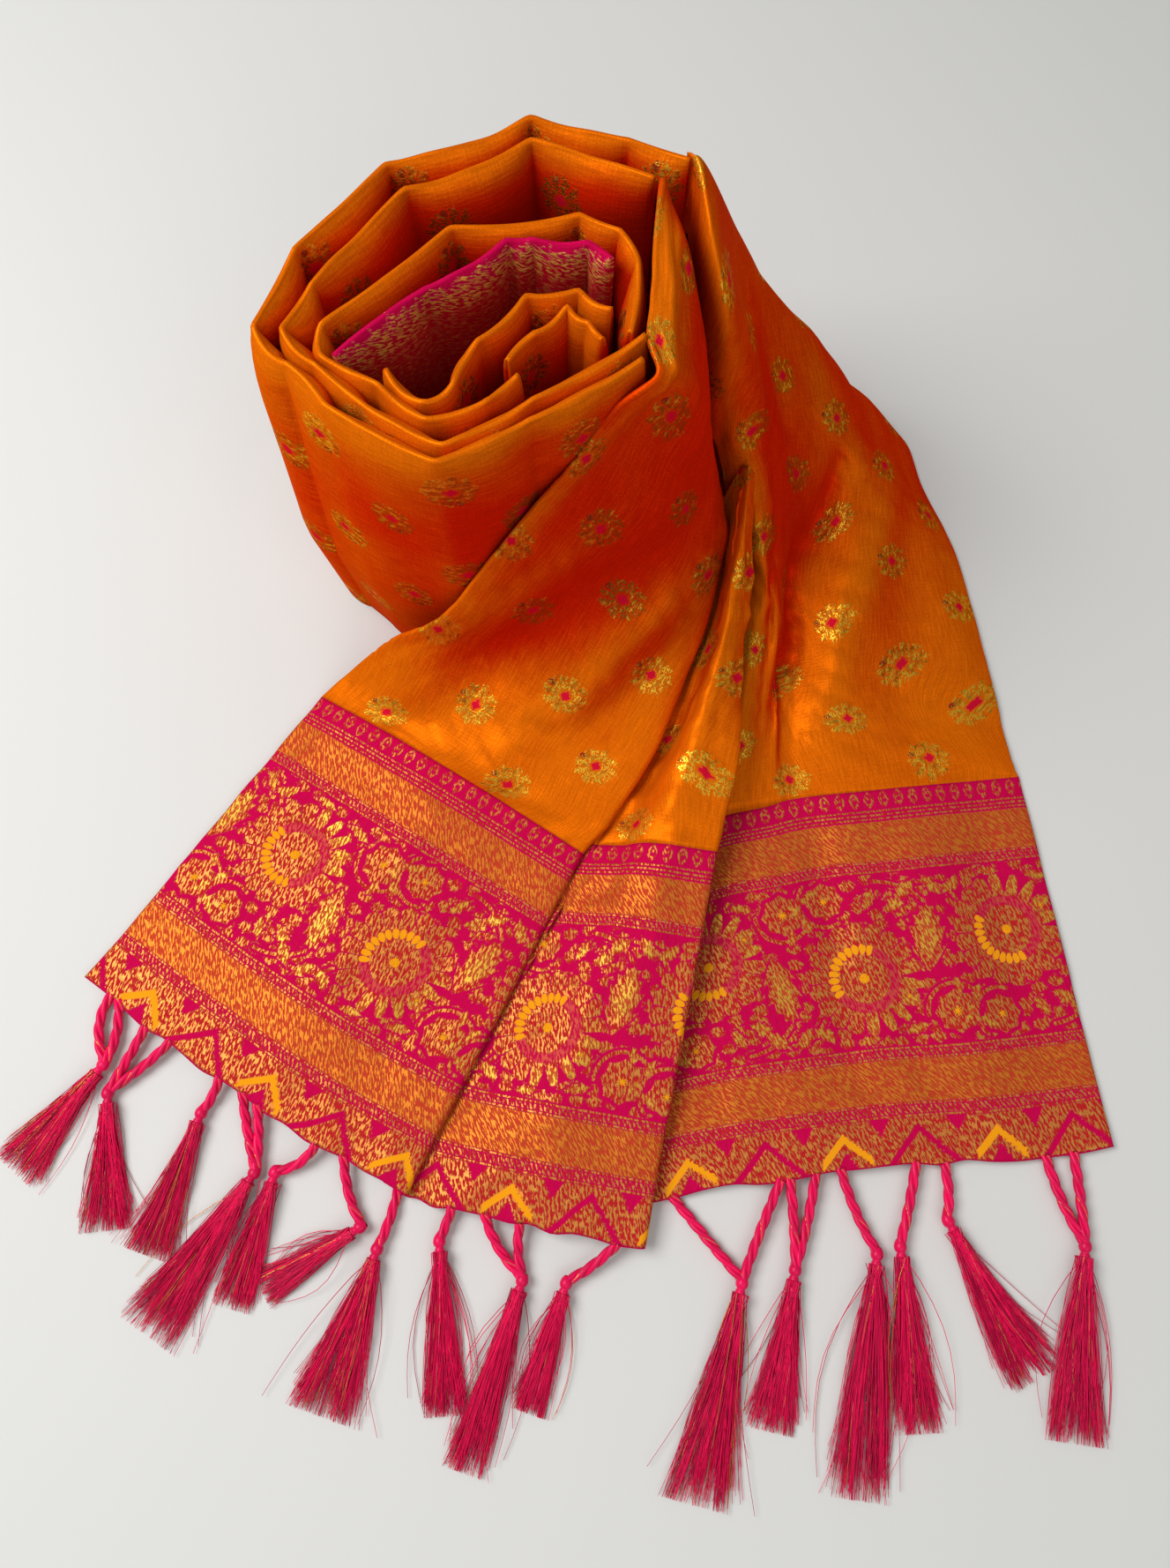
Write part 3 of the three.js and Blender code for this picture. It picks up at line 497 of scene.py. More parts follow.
def fall_grid(name, rumple):
    """One fall of the fan with its border, creased; its painted light share by place; and the border's
    first row.
    """
    table = FALLS[name]
    sections = np.array(list(table["sections"].values()), dtype=float).swapaxes(0, 1)
    fall = surface(sections, table["down"], table["across"])
    hem = surface(np.stack([sections[-1], np.array(table["hem"], dtype=float)]), BORDER_ROWS,
                  table["across"])
    grid = np.concatenate([fall, hem[1:]], 0)
    up = normals(grid[..., :3])
    seed = 11 * (1 + list(FALLS).index(name))
    small = smooth_field(grid.shape, SWELLS_WIDE, seed)
    small += FINE_SHARE * smooth_field(grid.shape, SWELLS_FINE, seed + 1)
    creases = CREASE_DEPTH * crease_height(grid[..., 3:5], table["creases"])
    below_top = np.clip((table["calm"] - grid[..., 4]) / CALM_REACH, 0, 1)
    height = below_top * (creases + small * rumple / MM)
    grid[..., :3] += up * height[..., None]
    at_hem = np.clip(1 - grid[..., 4] / HEM_REACH, 0, 1)
    grid[..., 1] += HEM_WAVE * smooth_field((2, grid.shape[1]), (1, 15), seed + 2)[0] * at_hem
    grid[..., 2] += HEM_LIFT * smooth_field((2, grid.shape[1]), (1, 11), seed + 3)[0] * at_hem
    grid[..., 2] = np.maximum(grid[..., 2], HEM_FLOOR)
    # Painted light and shade: share of the lit orange by height, by painted highlight and shade strokes,
    # and by facing toward the key light.
    painted_light = table["open"]
    share = np.interp(grid[..., 4], painted_light["up"], painted_light["share"])
    share += crease_height(grid[..., 3:5], painted_light["strokes"])
    share += FACING_SHARE * (painted_light_share(grid[..., :3]) - FACING_MIDDLE)
    return grid, share, table["down"]


class Field:
    """A value in a node group that can be reckoned with."""

    def __init__(self, tree, socket):
        self.tree = tree
        self.socket = socket

    def math(self, operation, *others):
        node = self.tree.nodes.new("ShaderNodeMath")
        node.operation = operation
        for slot, value in zip(node.inputs, (self, *others)):
            if isinstance(value, Field):
                self.tree.links.new(value.socket, slot)
            else:
                slot.default_value = value
        return Field(self.tree, node.outputs[0])

    def __add__(self, other):
        return self.math("ADD", other)

    def __sub__(self, other):
        return self.math("SUBTRACT", other)

    def __mul__(self, other):
        return self.math("MULTIPLY", other)

    def __truediv__(self, other):
        return self.math("DIVIDE", other)

    def flip(self):
        """One minus the value."""
        node = self.tree.nodes.new("ShaderNodeMath")
        node.operation = "SUBTRACT"
        node.inputs[0].default_value = 1.0
        self.tree.links.new(self.socket, node.inputs[1])
        return Field(self.tree, node.outputs[0])

    def ramp(self, low, high):
        """0 up to low and 1 from high, soft between; high may be the smaller."""
        node = self.tree.nodes.new("ShaderNodeMapRange")
        node.interpolation_type = "SMOOTHSTEP"
        self.tree.links.new(self.socket, node.inputs["Value"])
        node.inputs["From Min"].default_value = low
        node.inputs["From Max"].default_value = high
        return Field(self.tree, node.outputs["Result"])

    def abs(self):
        return self.math("ABSOLUTE")

    def sin(self):
        return self.math("SINE")

    def wrapped(self, period):
        """Distance to the nearest whole number of periods, with its sign."""
        return self.math("WRAP", period / 2, -period / 2)

    def most(self, other):
        return self.math("MAXIMUM", other)


def highest(fields):
    """The highest of several values at each place."""
    return reduce(Field.most, fields)


def distance(x, y):
    return (x * x + y * y).math("SQRT")


def parts(tree, socket, scale):
    """The first two parts of a vector, scaled."""
    split = tree.nodes.new("ShaderNodeSeparateXYZ")
    tree.links.new(socket, split.inputs[0])
    return Field(tree, split.outputs["X"]) * scale, Field(tree, split.outputs["Y"]) * scale


def new_group(name, inputs, outputs):
    """A shader node group that reads the cloth: tree, input, output, and millimetres across and up."""
    tree = bpy.data.node_groups.new(name, "ShaderNodeTree")
    tree.interface.new_socket("Cloth", in_out="INPUT", socket_type="NodeSocketVector")
    for way, labels in (("INPUT", inputs), ("OUTPUT", outputs)):
        for label in labels:
            tree.interface.new_socket(label, in_out=way, socket_type="NodeSocketFloat")
    source = tree.nodes.new("NodeGroupInput")
    sink = tree.nodes.new("NodeGroupOutput")
    return tree, source, sink, *parts(tree, source.outputs["Cloth"], 1000.0)


def give_out(tree, sink, **fields):
    """Joins fields to a group's outputs of the same names."""
    for label, field in fields.items():
        tree.links.new(field.socket, sink.inputs[label])
    return tree


def patterned(tree, kind, x, y):
    """A flat texture node over two fields already scaled to its swells."""
    join = tree.nodes.new("ShaderNodeCombineXYZ")
    tree.links.new(x.socket, join.inputs["X"])
    tree.links.new(y.socket, join.inputs["Y"])
    node = tree.nodes.new(kind)
    node.inputs["Scale"].default_value = 1.0
    tree.links.new(join.outputs[0], node.inputs["Vector"])
    return node


def noise(tree, x, y, detail=2.0):
    """Noise over two fields already scaled to its swells."""
    node = patterned(tree, "ShaderNodeTexNoise", x, y)
    node.noise_dimensions = "2D"
    node.inputs["Detail"].default_value = detail
    return Field(tree, node.outputs["Fac"])


def mixed(tree, share, first, second):
    """One colour laid over another; colours are sockets or plain values."""
    node = tree.nodes.new("ShaderNodeMix")
    node.data_type = "RGBA"
    tree.links.new(share.socket if isinstance(share, Field) else share, node.inputs["Factor"])
    for label, value in (("A", first), ("B", second)):
        slot = next(s for s in node.inputs if s.name == label and s.type == "RGBA")
        if isinstance(value, bpy.types.NodeSocket):
            tree.links.new(value, slot)
        else:
            slot.default_value = (*value, 1.0)
    return next(s for s in node.outputs if s.type == "RGBA")


def weave_group():
    """Fine threads of the cloth: a shade that varies thread by thread, and their height."""
    tree, _, sink, across, up = new_group("Silk Weave", (), ("Shade", "Drift", "Height"))
    slub_up = noise(tree, across * 1.2, up * 0.10)
    slub_across = noise(tree, across * 0.10, up * 1.15)
    grain = noise(tree, across * 1.5, up * 1.3, 3.0)
    return give_out(
        tree, sink,
        Shade=slub_up * 0.46 + slub_across * 0.16 + grain * 0.40,
        Drift=noise(tree, across * 0.021, up * 0.016, 3.0),
        Height=slub_up * 0.5 + slub_across * 0.5 + grain * 0.5)


def gold_group():
    """Gold thread lying in short floats: where it shows, its tone, and its height."""
    tree, source, sink, across, up = new_group("Gold Floats", ("Slant",), ("Float", "Tone", "Height"))
    slanted = across + up * Field(tree, source.outputs["Slant"])
    dashes = noise(tree, slanted * 1.08, up * 0.36, 1.0)
    floats = dashes.ramp(0.45, 0.56)
    tone = noise(tree, across * 0.5, up * 0.3, 3.0)
    return give_out(tree, sink, Float=floats, Tone=tone.ramp(0.25, 0.8), Height=floats * 0.7 + dashes * 0.3)


FLOWER_PITCH = (63.0, 48.0)      # woven flowers: across, and up for two rows
FLOWER_START = (29.0, 175.0)     # the first flower over the border of the left fall
FLOWER_REACH = 12.2
FLOWER_PETALS = 5                # petals in half a turn
DOT_PLACE = (-8.0, 2.4)


def flowers_group():
    """Small woven flowers in offset rows: their gold, their pink hearts and the dark dot beside each."""
    tree, source, sink, across, up = new_group("Woven Flowers", ("Shift",), ("Gold", "Heart", "Dot"))
    across = across - Field(tree, source.outputs["Shift"]) - FLOWER_START[0]
    up = up - FLOWER_START[1]
    row = FLOWER_PITCH[1] / 2
    odd_row = (up / row + 0.5).math("FLOOR").math("FLOORED_MODULO", 2.0)
    x = (across - odd_row * (FLOWER_PITCH[0] / 2)).wrapped(FLOWER_PITCH[0])
    y = up.wrapped(row) * 1.18
    radius = distance(x, y)
    angle = y.math("ARCTAN2", x)
    wobble = noise(tree, across * 0.8, up * 0.9, 3.0) * 4.4
    lobes = (angle * 4.0).sin().abs() * 1.3
    ring = (radius + lobes + wobble).ramp(FLOWER_REACH + 1.2, FLOWER_REACH)
    ring = ring * (radius + wobble * 0.35).ramp(3.4, 4.6)
    stitches = noise(tree, x * 1.7, y * 0.7, 1.0).ramp(0.42, 0.54)
    rays = (angle * 11.0 + wobble).sin() * 0.5 + 0.5
    petals = (angle * FLOWER_PETALS + 0.4).sin().abs().ramp(0.18, 0.42).most(radius.ramp(7.0, 6.2))
    heart = (x.abs() + y.abs() * 0.9 + wobble * 0.7).ramp(4.5, 3.7)
    dot = distance(x - DOT_PLACE[0], y - DOT_PLACE[1]).ramp(1.9, 1.2)
    return give_out(
        tree, sink,
        Gold=ring * (stitches * 0.85 + rays * 0.5).ramp(0.42, 0.92) * petals,
        Heart=heart,
        Dot=dot * heart.flip())


# The end border up from the hem: bands of height, in millimetres.
HEM_ZONE = 20.0
BANDS_BEADED = ((20.0, 26.5), (44.5, 50.0), (127.0, 132.5))
BANDS_GOLD = ((26.5, 44.5), (132.5, 150.5))
LINES = (151.8, 153.6, 155.4)
BUD_ROW = (156.4, 165.0)
BUD_PITCH = 6.7
VINE_MIDDLE = 88.5
VINE_PITCH = 67.0
VINE_REACH = 38.0
HEM_PITCH = 33.0

# The vine's pieces in one bay, in frames whose middle is the bay's blossom (0) or halfway to the next (1).
LEAVES = (  # frame, across, up, way in degrees, length, width
    (1, -3, 9, -98, 31, 15), (1, -9, 30, 40, 14, 6.5), (1, 3, 31, 128, 13, 6), (1, 14, 31, 70, 9, 4.5),
    (1, -15, -31, 15, 13, 5), (1, 16, -31, 150, 12, 5), (1, 13, -18, 60, 10, 4.5), (1, -14, 25, 160, 9, 4),
    (0, 8, 27, 62, 12, 5.5), (0, 18, 23, 20, 11, 5), (0, -25, 26, 118, 12, 5), (0, -3, -35, 8, 12, 4.5),
    (0, -22, -30, 142, 12, 5), (0, -28, 14, 80, 9, 4.5),
)
ROSETTES = (  # frame, across, up, radius
    (0, -11, 28, 8.0), (1, 3, -25, 9.0), (1, -16, -17, 4.6),
)
STEMS = (  # frame, across, up, radius, way in degrees, half span in degrees
    (0, -11, 28, 11.5, 215, 80), (1, 3, -25, 12.2, 110, 75), (1, -3, 14, 19, 60, 30),
    (0, 10, 8, 27, 62, 26),
)
BLOSSOM = {
    "up": -8.0, "reach": 23.4, "scallop": 1.9, "core": 10.4, "ring": (10.8, 15.2), "beads": 13.0,
    "bead_way": 138, "bead_span": 1.30, "bead_pitch": 0.235, "open_way": -45,
}


def leaf(x, y, way, length, width):
    """How far inside a pointed leaf a place is, from its middle; positive inside, in half widths."""
    turn = math.radians(way)
    along = x * math.cos(turn) + y * math.sin(turn)
    aside = y * math.cos(turn) - x * math.sin(turn)
    along = along / (length / 2)
    notches = (along * 6.0 + aside.abs() * 0.6).sin().abs() * 0.34
    return (along * along).flip() - aside.abs() / (width / 2) - notches + 0.1


def rosette(x, y, radius):
    """How far inside a small scalloped flower a place is, in radii."""
    scallop = (y.math("ARCTAN2", x) * 4.0).sin().abs() * 0.16
    return (distance(x, y) / radius + scallop).flip() + 0.1


def turned(x, y, way):
    """Angle from a way given in degrees, from half a turn back to half a turn on."""
    return (y.math("ARCTAN2", x) - math.radians(way)).wrapped(2 * math.pi)


def arc(x, y, radius, way, half_span):
    """How near a stretch of a circle's line a place is; positive on the line."""
    off = (turned(x, y, way).abs() - math.radians(half_span)).most(0.0) * radius
    return ((distance(x, y) - radius).abs() + off).flip()


def band(value, low, high, soft=0.25):
    """1 between two heights."""
    return value.ramp(low - soft, low + soft) * value.ramp(high + soft, high - soft)


def sprigs(tree, x, y):
    """Small ragged leaves scattered close together, from their middles; positive inside."""
    node = patterned(tree, "ShaderNodeTexVoronoi", x * 0.125, y * 0.155)
    node.voronoi_dimensions = "2D"
    node.inputs["Randomness"].default_value = 0.75
    return (Field(tree, node.outputs["Distance"]) + noise(tree, x * 0.7, y * 0.7, 2.0) * 0.45) * -1.0 + 0.64


def blossom(x, y):
    """The vine's large flower: its dull gold, bright petals and yellow, and distance from its middle."""
    span = distance(x, y)
    scallops = (y.math("ARCTAN2", x) * 9.0).sin().abs()
    open_side = turned(x, y, BLOSSOM["open_way"]).abs().ramp(1.1, 0.7)
    gaps = (span - 15.0) / 10.0 * (open_side * 0.75 + 0.12)
    whole = (span - scallops * BLOSSOM["scallop"]).ramp(BLOSSOM["reach"], BLOSSOM["reach"] - 0.6)
    petals = (scallops - gaps).ramp(-0.02, 0.10)
    core = span.ramp(BLOSSOM["core"], BLOSSOM["core"] - 0.6)
    ring = band(span, *BLOSSOM["ring"], 0.2).flip()
    dull = (whole * petals.most(span.ramp(16.0, 15.4)) * (ring * 0.7 + 0.3)).most(core * whole)
    bright = petals * whole * open_side * span.ramp(16.5, 18.5)
    bead_turn = turned(x, y, BLOSSOM["bead_way"])
    bead = distance(bead_turn.wrapped(BLOSSOM["bead_pitch"]) * (BLOSSOM["beads"] / 1.55),
                    (span - BLOSSOM["beads"]) / 2.5)
    beads = (bead * bead).ramp(1.05, 0.75) * bead_turn.abs().ramp(BLOSSOM["bead_span"], 1.24)
    return dull, bright, beads.most(span.ramp(2.4, 1.8)), span


def vine(tree, across, up):
    """The vine of blossoms, leaves and buds: dull gold, bright gold and yellow."""
    rise = up - VINE_MIDDLE
    frames = []
    for shift in (0.0, VINE_PITCH / 2):
        bay = ((across - shift) / VINE_PITCH + 0.5).math("FLOOR")
        flip = bay.math("FLOORED_MODULO", 2.0) * -2.0 + 1.0
        frames.append(((across - shift).wrapped(VINE_PITCH), rise * flip))

    def placed(shape, table):
        return highest(shape(frames[k][0] - x, frames[k][1] - y, *sizes) for k, x, y, *sizes in table)

    leaves = placed(leaf, LEAVES)
    lines = placed(arc, STEMS)
    flowers = placed(rosette, ROSETTES)
    large, petals, yellow, span = blossom(frames[0][0], frames[0][1] - BLOSSOM["up"])
    free = leaves.ramp(-0.22, -0.42) * flowers.ramp(-0.16, -0.26)
    free = free * lines.ramp(-0.9, -1.3) * span.ramp(24.2, 25.2)
    small = sprigs(tree, across, rise).ramp(0.0, 0.06) * free
    dull = highest((flowers.ramp(0.0, 0.08), lines.ramp(0.0, 0.3), large, leaves.ramp(-0.06, 0.04), small))
    bright = leaves.ramp(0.22, 0.5).most(petals)
    yellow = yellow.most(flowers.ramp(0.80, 0.88))
    inside = band(rise, -VINE_REACH, VINE_REACH)
    return dull * inside, bright * inside, yellow * inside


def hem_zone(across, up):
    """The woven hem: yellow chevrons over pink hearts, pink ones over gold, and pink notches above."""
    x = across.wrapped(2 * HEM_PITCH).abs()
    chevron = band((x + up) * 0.72, 8.2, 11.2, 0.3) * x.ramp(11.2, 10.4)
    heart = (x * 1.6 + up).ramp(8.4, 7.6)
    odd_x = (across - HEM_PITCH).wrapped(2 * HEM_PITCH).abs()
    peak = band((odd_x * 1.05 + up) * 0.69, 9.6, 12.2, 0.3)
    notch_x = (across - HEM_PITCH / 2).wrapped(HEM_PITCH).abs()
    notch = ((up - 12.5) * 0.62 - notch_x).ramp(-0.3, 0.3)
    zone = up.ramp(HEM_ZONE + 0.2, HEM_ZONE - 0.2)
    gold = chevron.flip() * heart.flip() * peak.flip() * notch.flip() * up.ramp(0.5, 0.9) * zone
    return gold, chevron * zone


def beaded_band(across, up, low, high):
    """Two lines with slanted beads between them."""
    middle, reach = (low + high) / 2, (high - low) / 2
    off = (up - middle).abs()
    edge = (off - (reach - 0.7)).abs().ramp(0.6, 0.3)
    bead = (across + (up - middle) * 0.7).wrapped(2.1).abs().ramp(0.72, 0.5)
    return edge.most(bead * off.ramp(reach - 1.4, reach - 1.8))


def bud_row(across, up):
    """A row of small pointed buds, each with a line round its heart."""
    y = (up - sum(BUD_ROW) / 2) / 4.2
    bud = (y * y).flip() * 2.4 - across.wrapped(BUD_PITCH).abs()
    return bud.ramp(0.0, 0.4) * (bud.ramp(1.5, 1.1).most((y * 9.0).sin().ramp(0.0, 0.5)))


def border_group():
    """The woven end border: dull and bright gold, yellow, and bands of close gold."""
    tree, source, sink, across, up = new_group(
        "End Border", ("Vine Shift", "Hem Shift"), ("Dull", "Bright", "Yellow", "Close"))
    ragged = noise(tree, across * 0.9, up * 0.9, 2.0) - 0.5
    up = up + ragged * 0.7
    wide = across + ragged * 0.9
    dull, bright, yellow = vine(tree, wide - Field(tree, source.outputs["Vine Shift"]), up)
    hem_across = wide + ragged * 1.6 - Field(tree, source.outputs["Hem Shift"])
    hem_gold, hem_yellow = hem_zone(hem_across, up + ragged * 1.2)
    lines = [beaded_band(wide, up, *edges) for edges in BANDS_BEADED]
    lines += [(up - line).abs().ramp(0.55, 0.3) for line in LINES]
    return give_out(
        tree, sink,
        Dull=highest((dull, *lines, bud_row(wide, up) * 0.85, hem_gold)),
        Bright=bright,
        Yellow=yellow.most(hem_yellow),
        Close=highest(band(up, *edges) for edges in BANDS_GOLD))


class Kit:
    """The node groups, made once."""

    weave = None
    gold = None
    flowers = None
    border = None

    @classmethod
    def make(cls):
        if cls.weave is None:
            cls.weave = weave_group()
            cls.gold = gold_group()
            cls.flowers = flowers_group()
            cls.border = border_group()


def new_material(name):
    """A material with its tree, its shader and its cloth coordinates ready."""
    Kit.make()
    material = bpy.data.materials.new(name)
    material.use_nodes = True
    tree = material.node_tree
    place = tree.nodes.new("ShaderNodeUVMap")
    place.uv_map = "Cloth"
    return material, tree, tree.nodes["Principled BSDF"], place


def use_group(tree, group, place, **constants):
    """A node group's outputs by name, as fields, reading the cloth coordinates."""
    node = tree.nodes.new("ShaderNodeGroup")
    node.node_tree = group
    tree.links.new(place.outputs["UV"], node.inputs["Cloth"])
    for label, value in constants.items():
        node.inputs[label.replace("_", " ")].default_value = value
    return {slot.name: Field(tree, slot) for slot in node.outputs}


def shaded(tree, colour, shade, least, most):
    """A colour made darker or lighter by a varying shade."""
    scale = shade.ramp(0.32, 0.82) * (most - least) + least
    node = tree.nodes.new("ShaderNodeVectorMath")
    node.operation = "SCALE"
    tree.links.new(colour, node.inputs[0])
    tree.links.new(scale.socket, node.inputs["Scale"])
    return node.outputs[0]


def wired(tree, shader, colour, metallic, rough, specular=(0.0, (1.0, 0.35, 0.05))):
    """Joins the parts that vary to a shader, and sets its constant gloss: level and tint."""
    tree.links.new(colour, shader.inputs["Base Color"])
    tree.links.new(metallic.socket, shader.inputs["Metallic"])
    tree.links.new(rough.socket, shader.inputs["Roughness"])
    shader.inputs["Specular IOR Level"].default_value = specular[0]
    shader.inputs["Specular Tint"].default_value = (*specular[1], 1.0)


def set_bump(tree, shader, height, distance, strength):
    bump = tree.nodes.new("ShaderNodeBump")
    bump.inputs["Distance"].default_value = distance
    bump.inputs["Strength"].default_value = strength
    tree.links.new(height.socket, bump.inputs["Height"])
    tree.links.new(bump.outputs["Normal"], shader.inputs["Normal"])


HEART_PINK = (0.60, 0.006, 0.030)
DOT_RED = (0.28, 0.01, 0.01)
GOLD_PAINTED_SHADE = (0.27, 0.085, 0.008)         # painted shade of a woven flower's gold; the lit copy below is its painted highlight
GOLD_PAINTED_LIT = (0.74, 0.42, 0.03)
GOLD_DULL = (0.54, 0.17, 0.042)          # golds of the end border
GOLD_CLOSE = (0.62, 0.20, 0.022)
GOLD_BRIGHT = (0.62, 0.34, 0.045)
GOLD_BROCADE = (0.76, 0.44, 0.08)
GROUND_UNDER_GOLD = (0.46, 0.012, 0.018)
BROCADE_GROUND = (0.40, 0.005, 0.016)


def silk_material(name, cloth, shift):
    """Silk with small woven flowers, on one piece of the cloth: its shot orange and red, and the flowers'
    gold, are mixed by painted light and shade.
    """
    material, tree, shader, place = new_material(name)
    weave = use_group(tree, Kit.weave, place)
    flowers = use_group(tree, Kit.flowers, place, Shift=shift)
    floats = use_group(tree, Kit.gold, place, Slant=0.0)
    # Painted light and shade: the painted light share read from the mesh, with random tone from the weave,
    # mixes the lit silk colour toward the red warp colour, and the flowers' gold from its painted shade to
    # its painted highlight.
    fold = tree.nodes.new("ShaderNodeAttribute")
    fold.attribute_name = "PaintedLight"
    painted_light = Field(tree, fold.outputs["Fac"]) + (weave["Drift"] - 0.5) * 0.50
    painted_light = painted_light + (weave["Shade"] - 0.50) * 0.42
    colour = mixed(tree, painted_light.ramp(0.92, 0.08), tuple(cloth.silk), tuple(cloth.warp_and_shade))
    colour = shaded(tree, colour, weave["Shade"], 0.78, 1.16)
    gold = flowers["Gold"]
    painted_glint_and_tone = (painted_light + (floats["Tone"] - 0.5) * 1.1).ramp(0.05, 0.95)
    colour = mixed(tree, flowers["Heart"], colour, HEART_PINK)
    colour = mixed(tree, flowers["Dot"], colour, DOT_RED)
    colour = mixed(tree, gold, colour, mixed(tree, painted_glint_and_tone, GOLD_PAINTED_SHADE, GOLD_PAINTED_LIT))
    wired(tree, shader, colour, gold * 0.47 + 0.29, gold * -0.06 + 0.33 + weave["Shade"] * 0.12)
    set_bump(tree, shader, weave["Height"] + gold * 0.8, 0.00022, 0.7)
    return material


def border_material(name, cloth, vine_shift, hem_shift):
    """The brocade end border: a pink ground with gold and yellow figures."""
    material, tree, shader, place = new_material(name)
    weave = use_group(tree, Kit.weave, place)
    pattern = use_group(tree, Kit.border, place, Vine_Shift=vine_shift, Hem_Shift=hem_shift)
    floats = use_group(tree, Kit.gold, place, Slant=0.28)
    twill = use_group(tree, Kit.gold, place, Slant=0.75)
    figure = pattern["Dull"] * (floats["Float"] * 0.88 + 0.02)
    bright = pattern["Bright"] * (floats["Float"] * 0.76 + 0.16)
    close = pattern["Close"] * (twill["Float"] * 0.66 + 0.16)
    gold = highest((figure, bright, close))
    ground = mixed(tree, pattern["Close"].most(pattern["Dull"]), tuple(cloth.ground), GROUND_UNDER_GOLD)
    ground = shaded(tree, ground, weave["Shade"], 0.86, 1.10)
    metal = mixed(tree, floats["Tone"], GOLD_DULL, tuple(cloth.gold))
    metal = mixed(tree, pattern["Close"], metal, GOLD_CLOSE)
    metal = mixed(tree, pattern["Bright"], metal, GOLD_BRIGHT)
    colour = mixed(tree, gold, ground, metal)
    colour = mixed(tree, pattern["Yellow"], colour, tuple(cloth.yellow))
    wired(tree, shader, colour, gold * pattern["Yellow"].flip() * 0.55, gold * -0.12 + 0.52)
    set_bump(tree, shader, weave["Height"] * 0.5 + gold * 0.9 + pattern["Yellow"] * 0.8, 0.00028, 0.8)
    return material


def brocade_material(name, cloth):
    """The close brocade of the cloth's inner end."""
    material, tree, shader, place = new_material(name)
    weave = use_group(tree, Kit.weave, place)
    floats = use_group(tree, Kit.gold, place, Slant=0.4)
    across, up = parts(tree, place.outputs["UV"], 1000.0)
    below = (across - RIM_ACROSS).abs()
    below = below + noise(tree, up * 0.26, below * 0.2, 3.0) * 9.0
    close = below.ramp(6.5, 8.0) * below.ramp(24.0, 14.0)
    sparse = below.ramp(7.0, 8.5) * 0.20
    gold = floats["Float"] * close.most(sparse) * (floats["Tone"].ramp(0.28, 0.55) * 0.7 + 0.3)
    ground = mixed(tree, below.ramp(7.5, 16.0), tuple(cloth.ground), BROCADE_GROUND)
    ground = shaded(tree, ground, weave["Shade"], 0.8, 1.1)
    colour = mixed(tree, gold, ground, GOLD_BROCADE)
    wired(tree, shader, colour, gold * 0.55, gold * -0.1 + 0.5)
    set_bump(tree, shader, gold + weave["Height"] * 0.4, 0.0003, 0.8)
    return material


def tassel_material(name, cloth, tassels):
    """Lustrous thread, strand by strand, with metal threads among them."""
    material, tree, shader, place = new_material(name)
    pick, _ = parts(tree, place.outputs["UV"], 1.0)
    dark = tuple(c * 0.58 for c in tassels.thread)
    light = tuple(min(1, c * 1.45) for c in tassels.thread)
    metal = pick.ramp(0.995, 1.0)
    colour = mixed(tree, metal, mixed(tree, pick.math("FRACT"), dark, light), tuple(cloth.gold))
    wired(tree, shader, colour, metal * 0.8, metal * -0.06 + 0.32, specular=(0.32, (1.0, 0.5, 0.6)))
    return material


TURN_STEP = 1.4          # distance between the rows of a turn's grid
RIM_RADIUS = 1.1
RIM_REACH = 9.0          # depth over which a wall widens below its rim
RIM_ACROSS = 31.0        # where a turn's rim lies on the cloth, across
TURN_UP = 190.0          # where a turn starts on the cloth, up
RIM_SHIFTS = (-17.0, 21.0, 48.0, 0.0, -12.0, 16.0)      # of the flowers, so that the rims run between them
BELLY = ((0, 0.35, 0.7, 1), (0.45, 1, 0.55, 0))         # share of a wall's belly by share of its height
# How far a wall's side stands out between two corners, by depth below the rim, outside and inside the coil.
PUFF_DEPTH = (0, 4, 10, 17, 30, 60, 185)
PUFF_OUT = (0, 1.1, 2.1, 2.6, 2.4, 1.6, 1.0)
PUFF_IN = (0, 2.4, 4.8, 6.2, 5.6, 2.8, 0.8)
# Painted light share by depth below the rim: painted highlight near the rim, painted shade deeper down,
# darkest inside the coil.
PAINTED_LIGHT_OUTSIDE = ((0, 5, 12, 45, 185), (0.94, 0.76, 0.46, 0.24, 0.14))
PAINTED_LIGHT_INSIDE = ((0, 3, 7, 12, 20, 60, 185), (0.92, 0.70, 0.40, 0.04, -0.2, -0.4, -0.45))
# painted highlight on the rim itself
PAINTED_LIGHT_RIM = 0.95
CORNER_SHADE = ((2, 12, 60, 90), (0, 0.5, 0.35, 0))      # darker in the inner corners, by depth
PAINTED_LIGHT_SIDE = 0.30         # painted light: lighter where the coil's outside faces left, toward the key light
RIM_SAG = 1.2            # how far a rim sags between two corners
RIM_WAVE = 0.7
RIM_CALM = 40.0          # depth below which the sag and the waves end
SIDE_WAVE = 0.7
SIDE_CALM = 30.0         # depth above which the sides' waves fade out


def lengths(places):
    """Length along a row of places, from its first."""
    return np.concatenate([[0], np.cumsum(np.linalg.norm(np.diff(places, axis=0), axis=1))])


def turn_plan(corners):
    """Places along one turn: the wall's middle x, y, its belly, and how far between corners, 0 at each."""
    path = []
    for (x, y, bow, belly), (next_x, next_y, _, next_belly) in zip(corners[:-1], corners[1:]):
        run_x, run_y = next_x - x, next_y - y
        run = math.hypot(run_x, run_y)
        steps = max(2, round(run / TURN_STEP))
        for t in (k / steps for k in range(steps)):
            swell = bow * 4 * t * (1 - t) / run
            path.append((x + run_x * t + run_y * swell, y + run_y * t - run_x * swell,
                         belly + (next_belly - belly) * t, math.sin(math.pi * t)))
    path.append((*corners[-1][:2], corners[-1][3], 0.0))
    path = np.array(path)
    path[1:-1, :2] = 0.25 * path[:-2, :2] + 0.5 * path[1:-1, :2] + 0.25 * path[2:, :2]
    return path


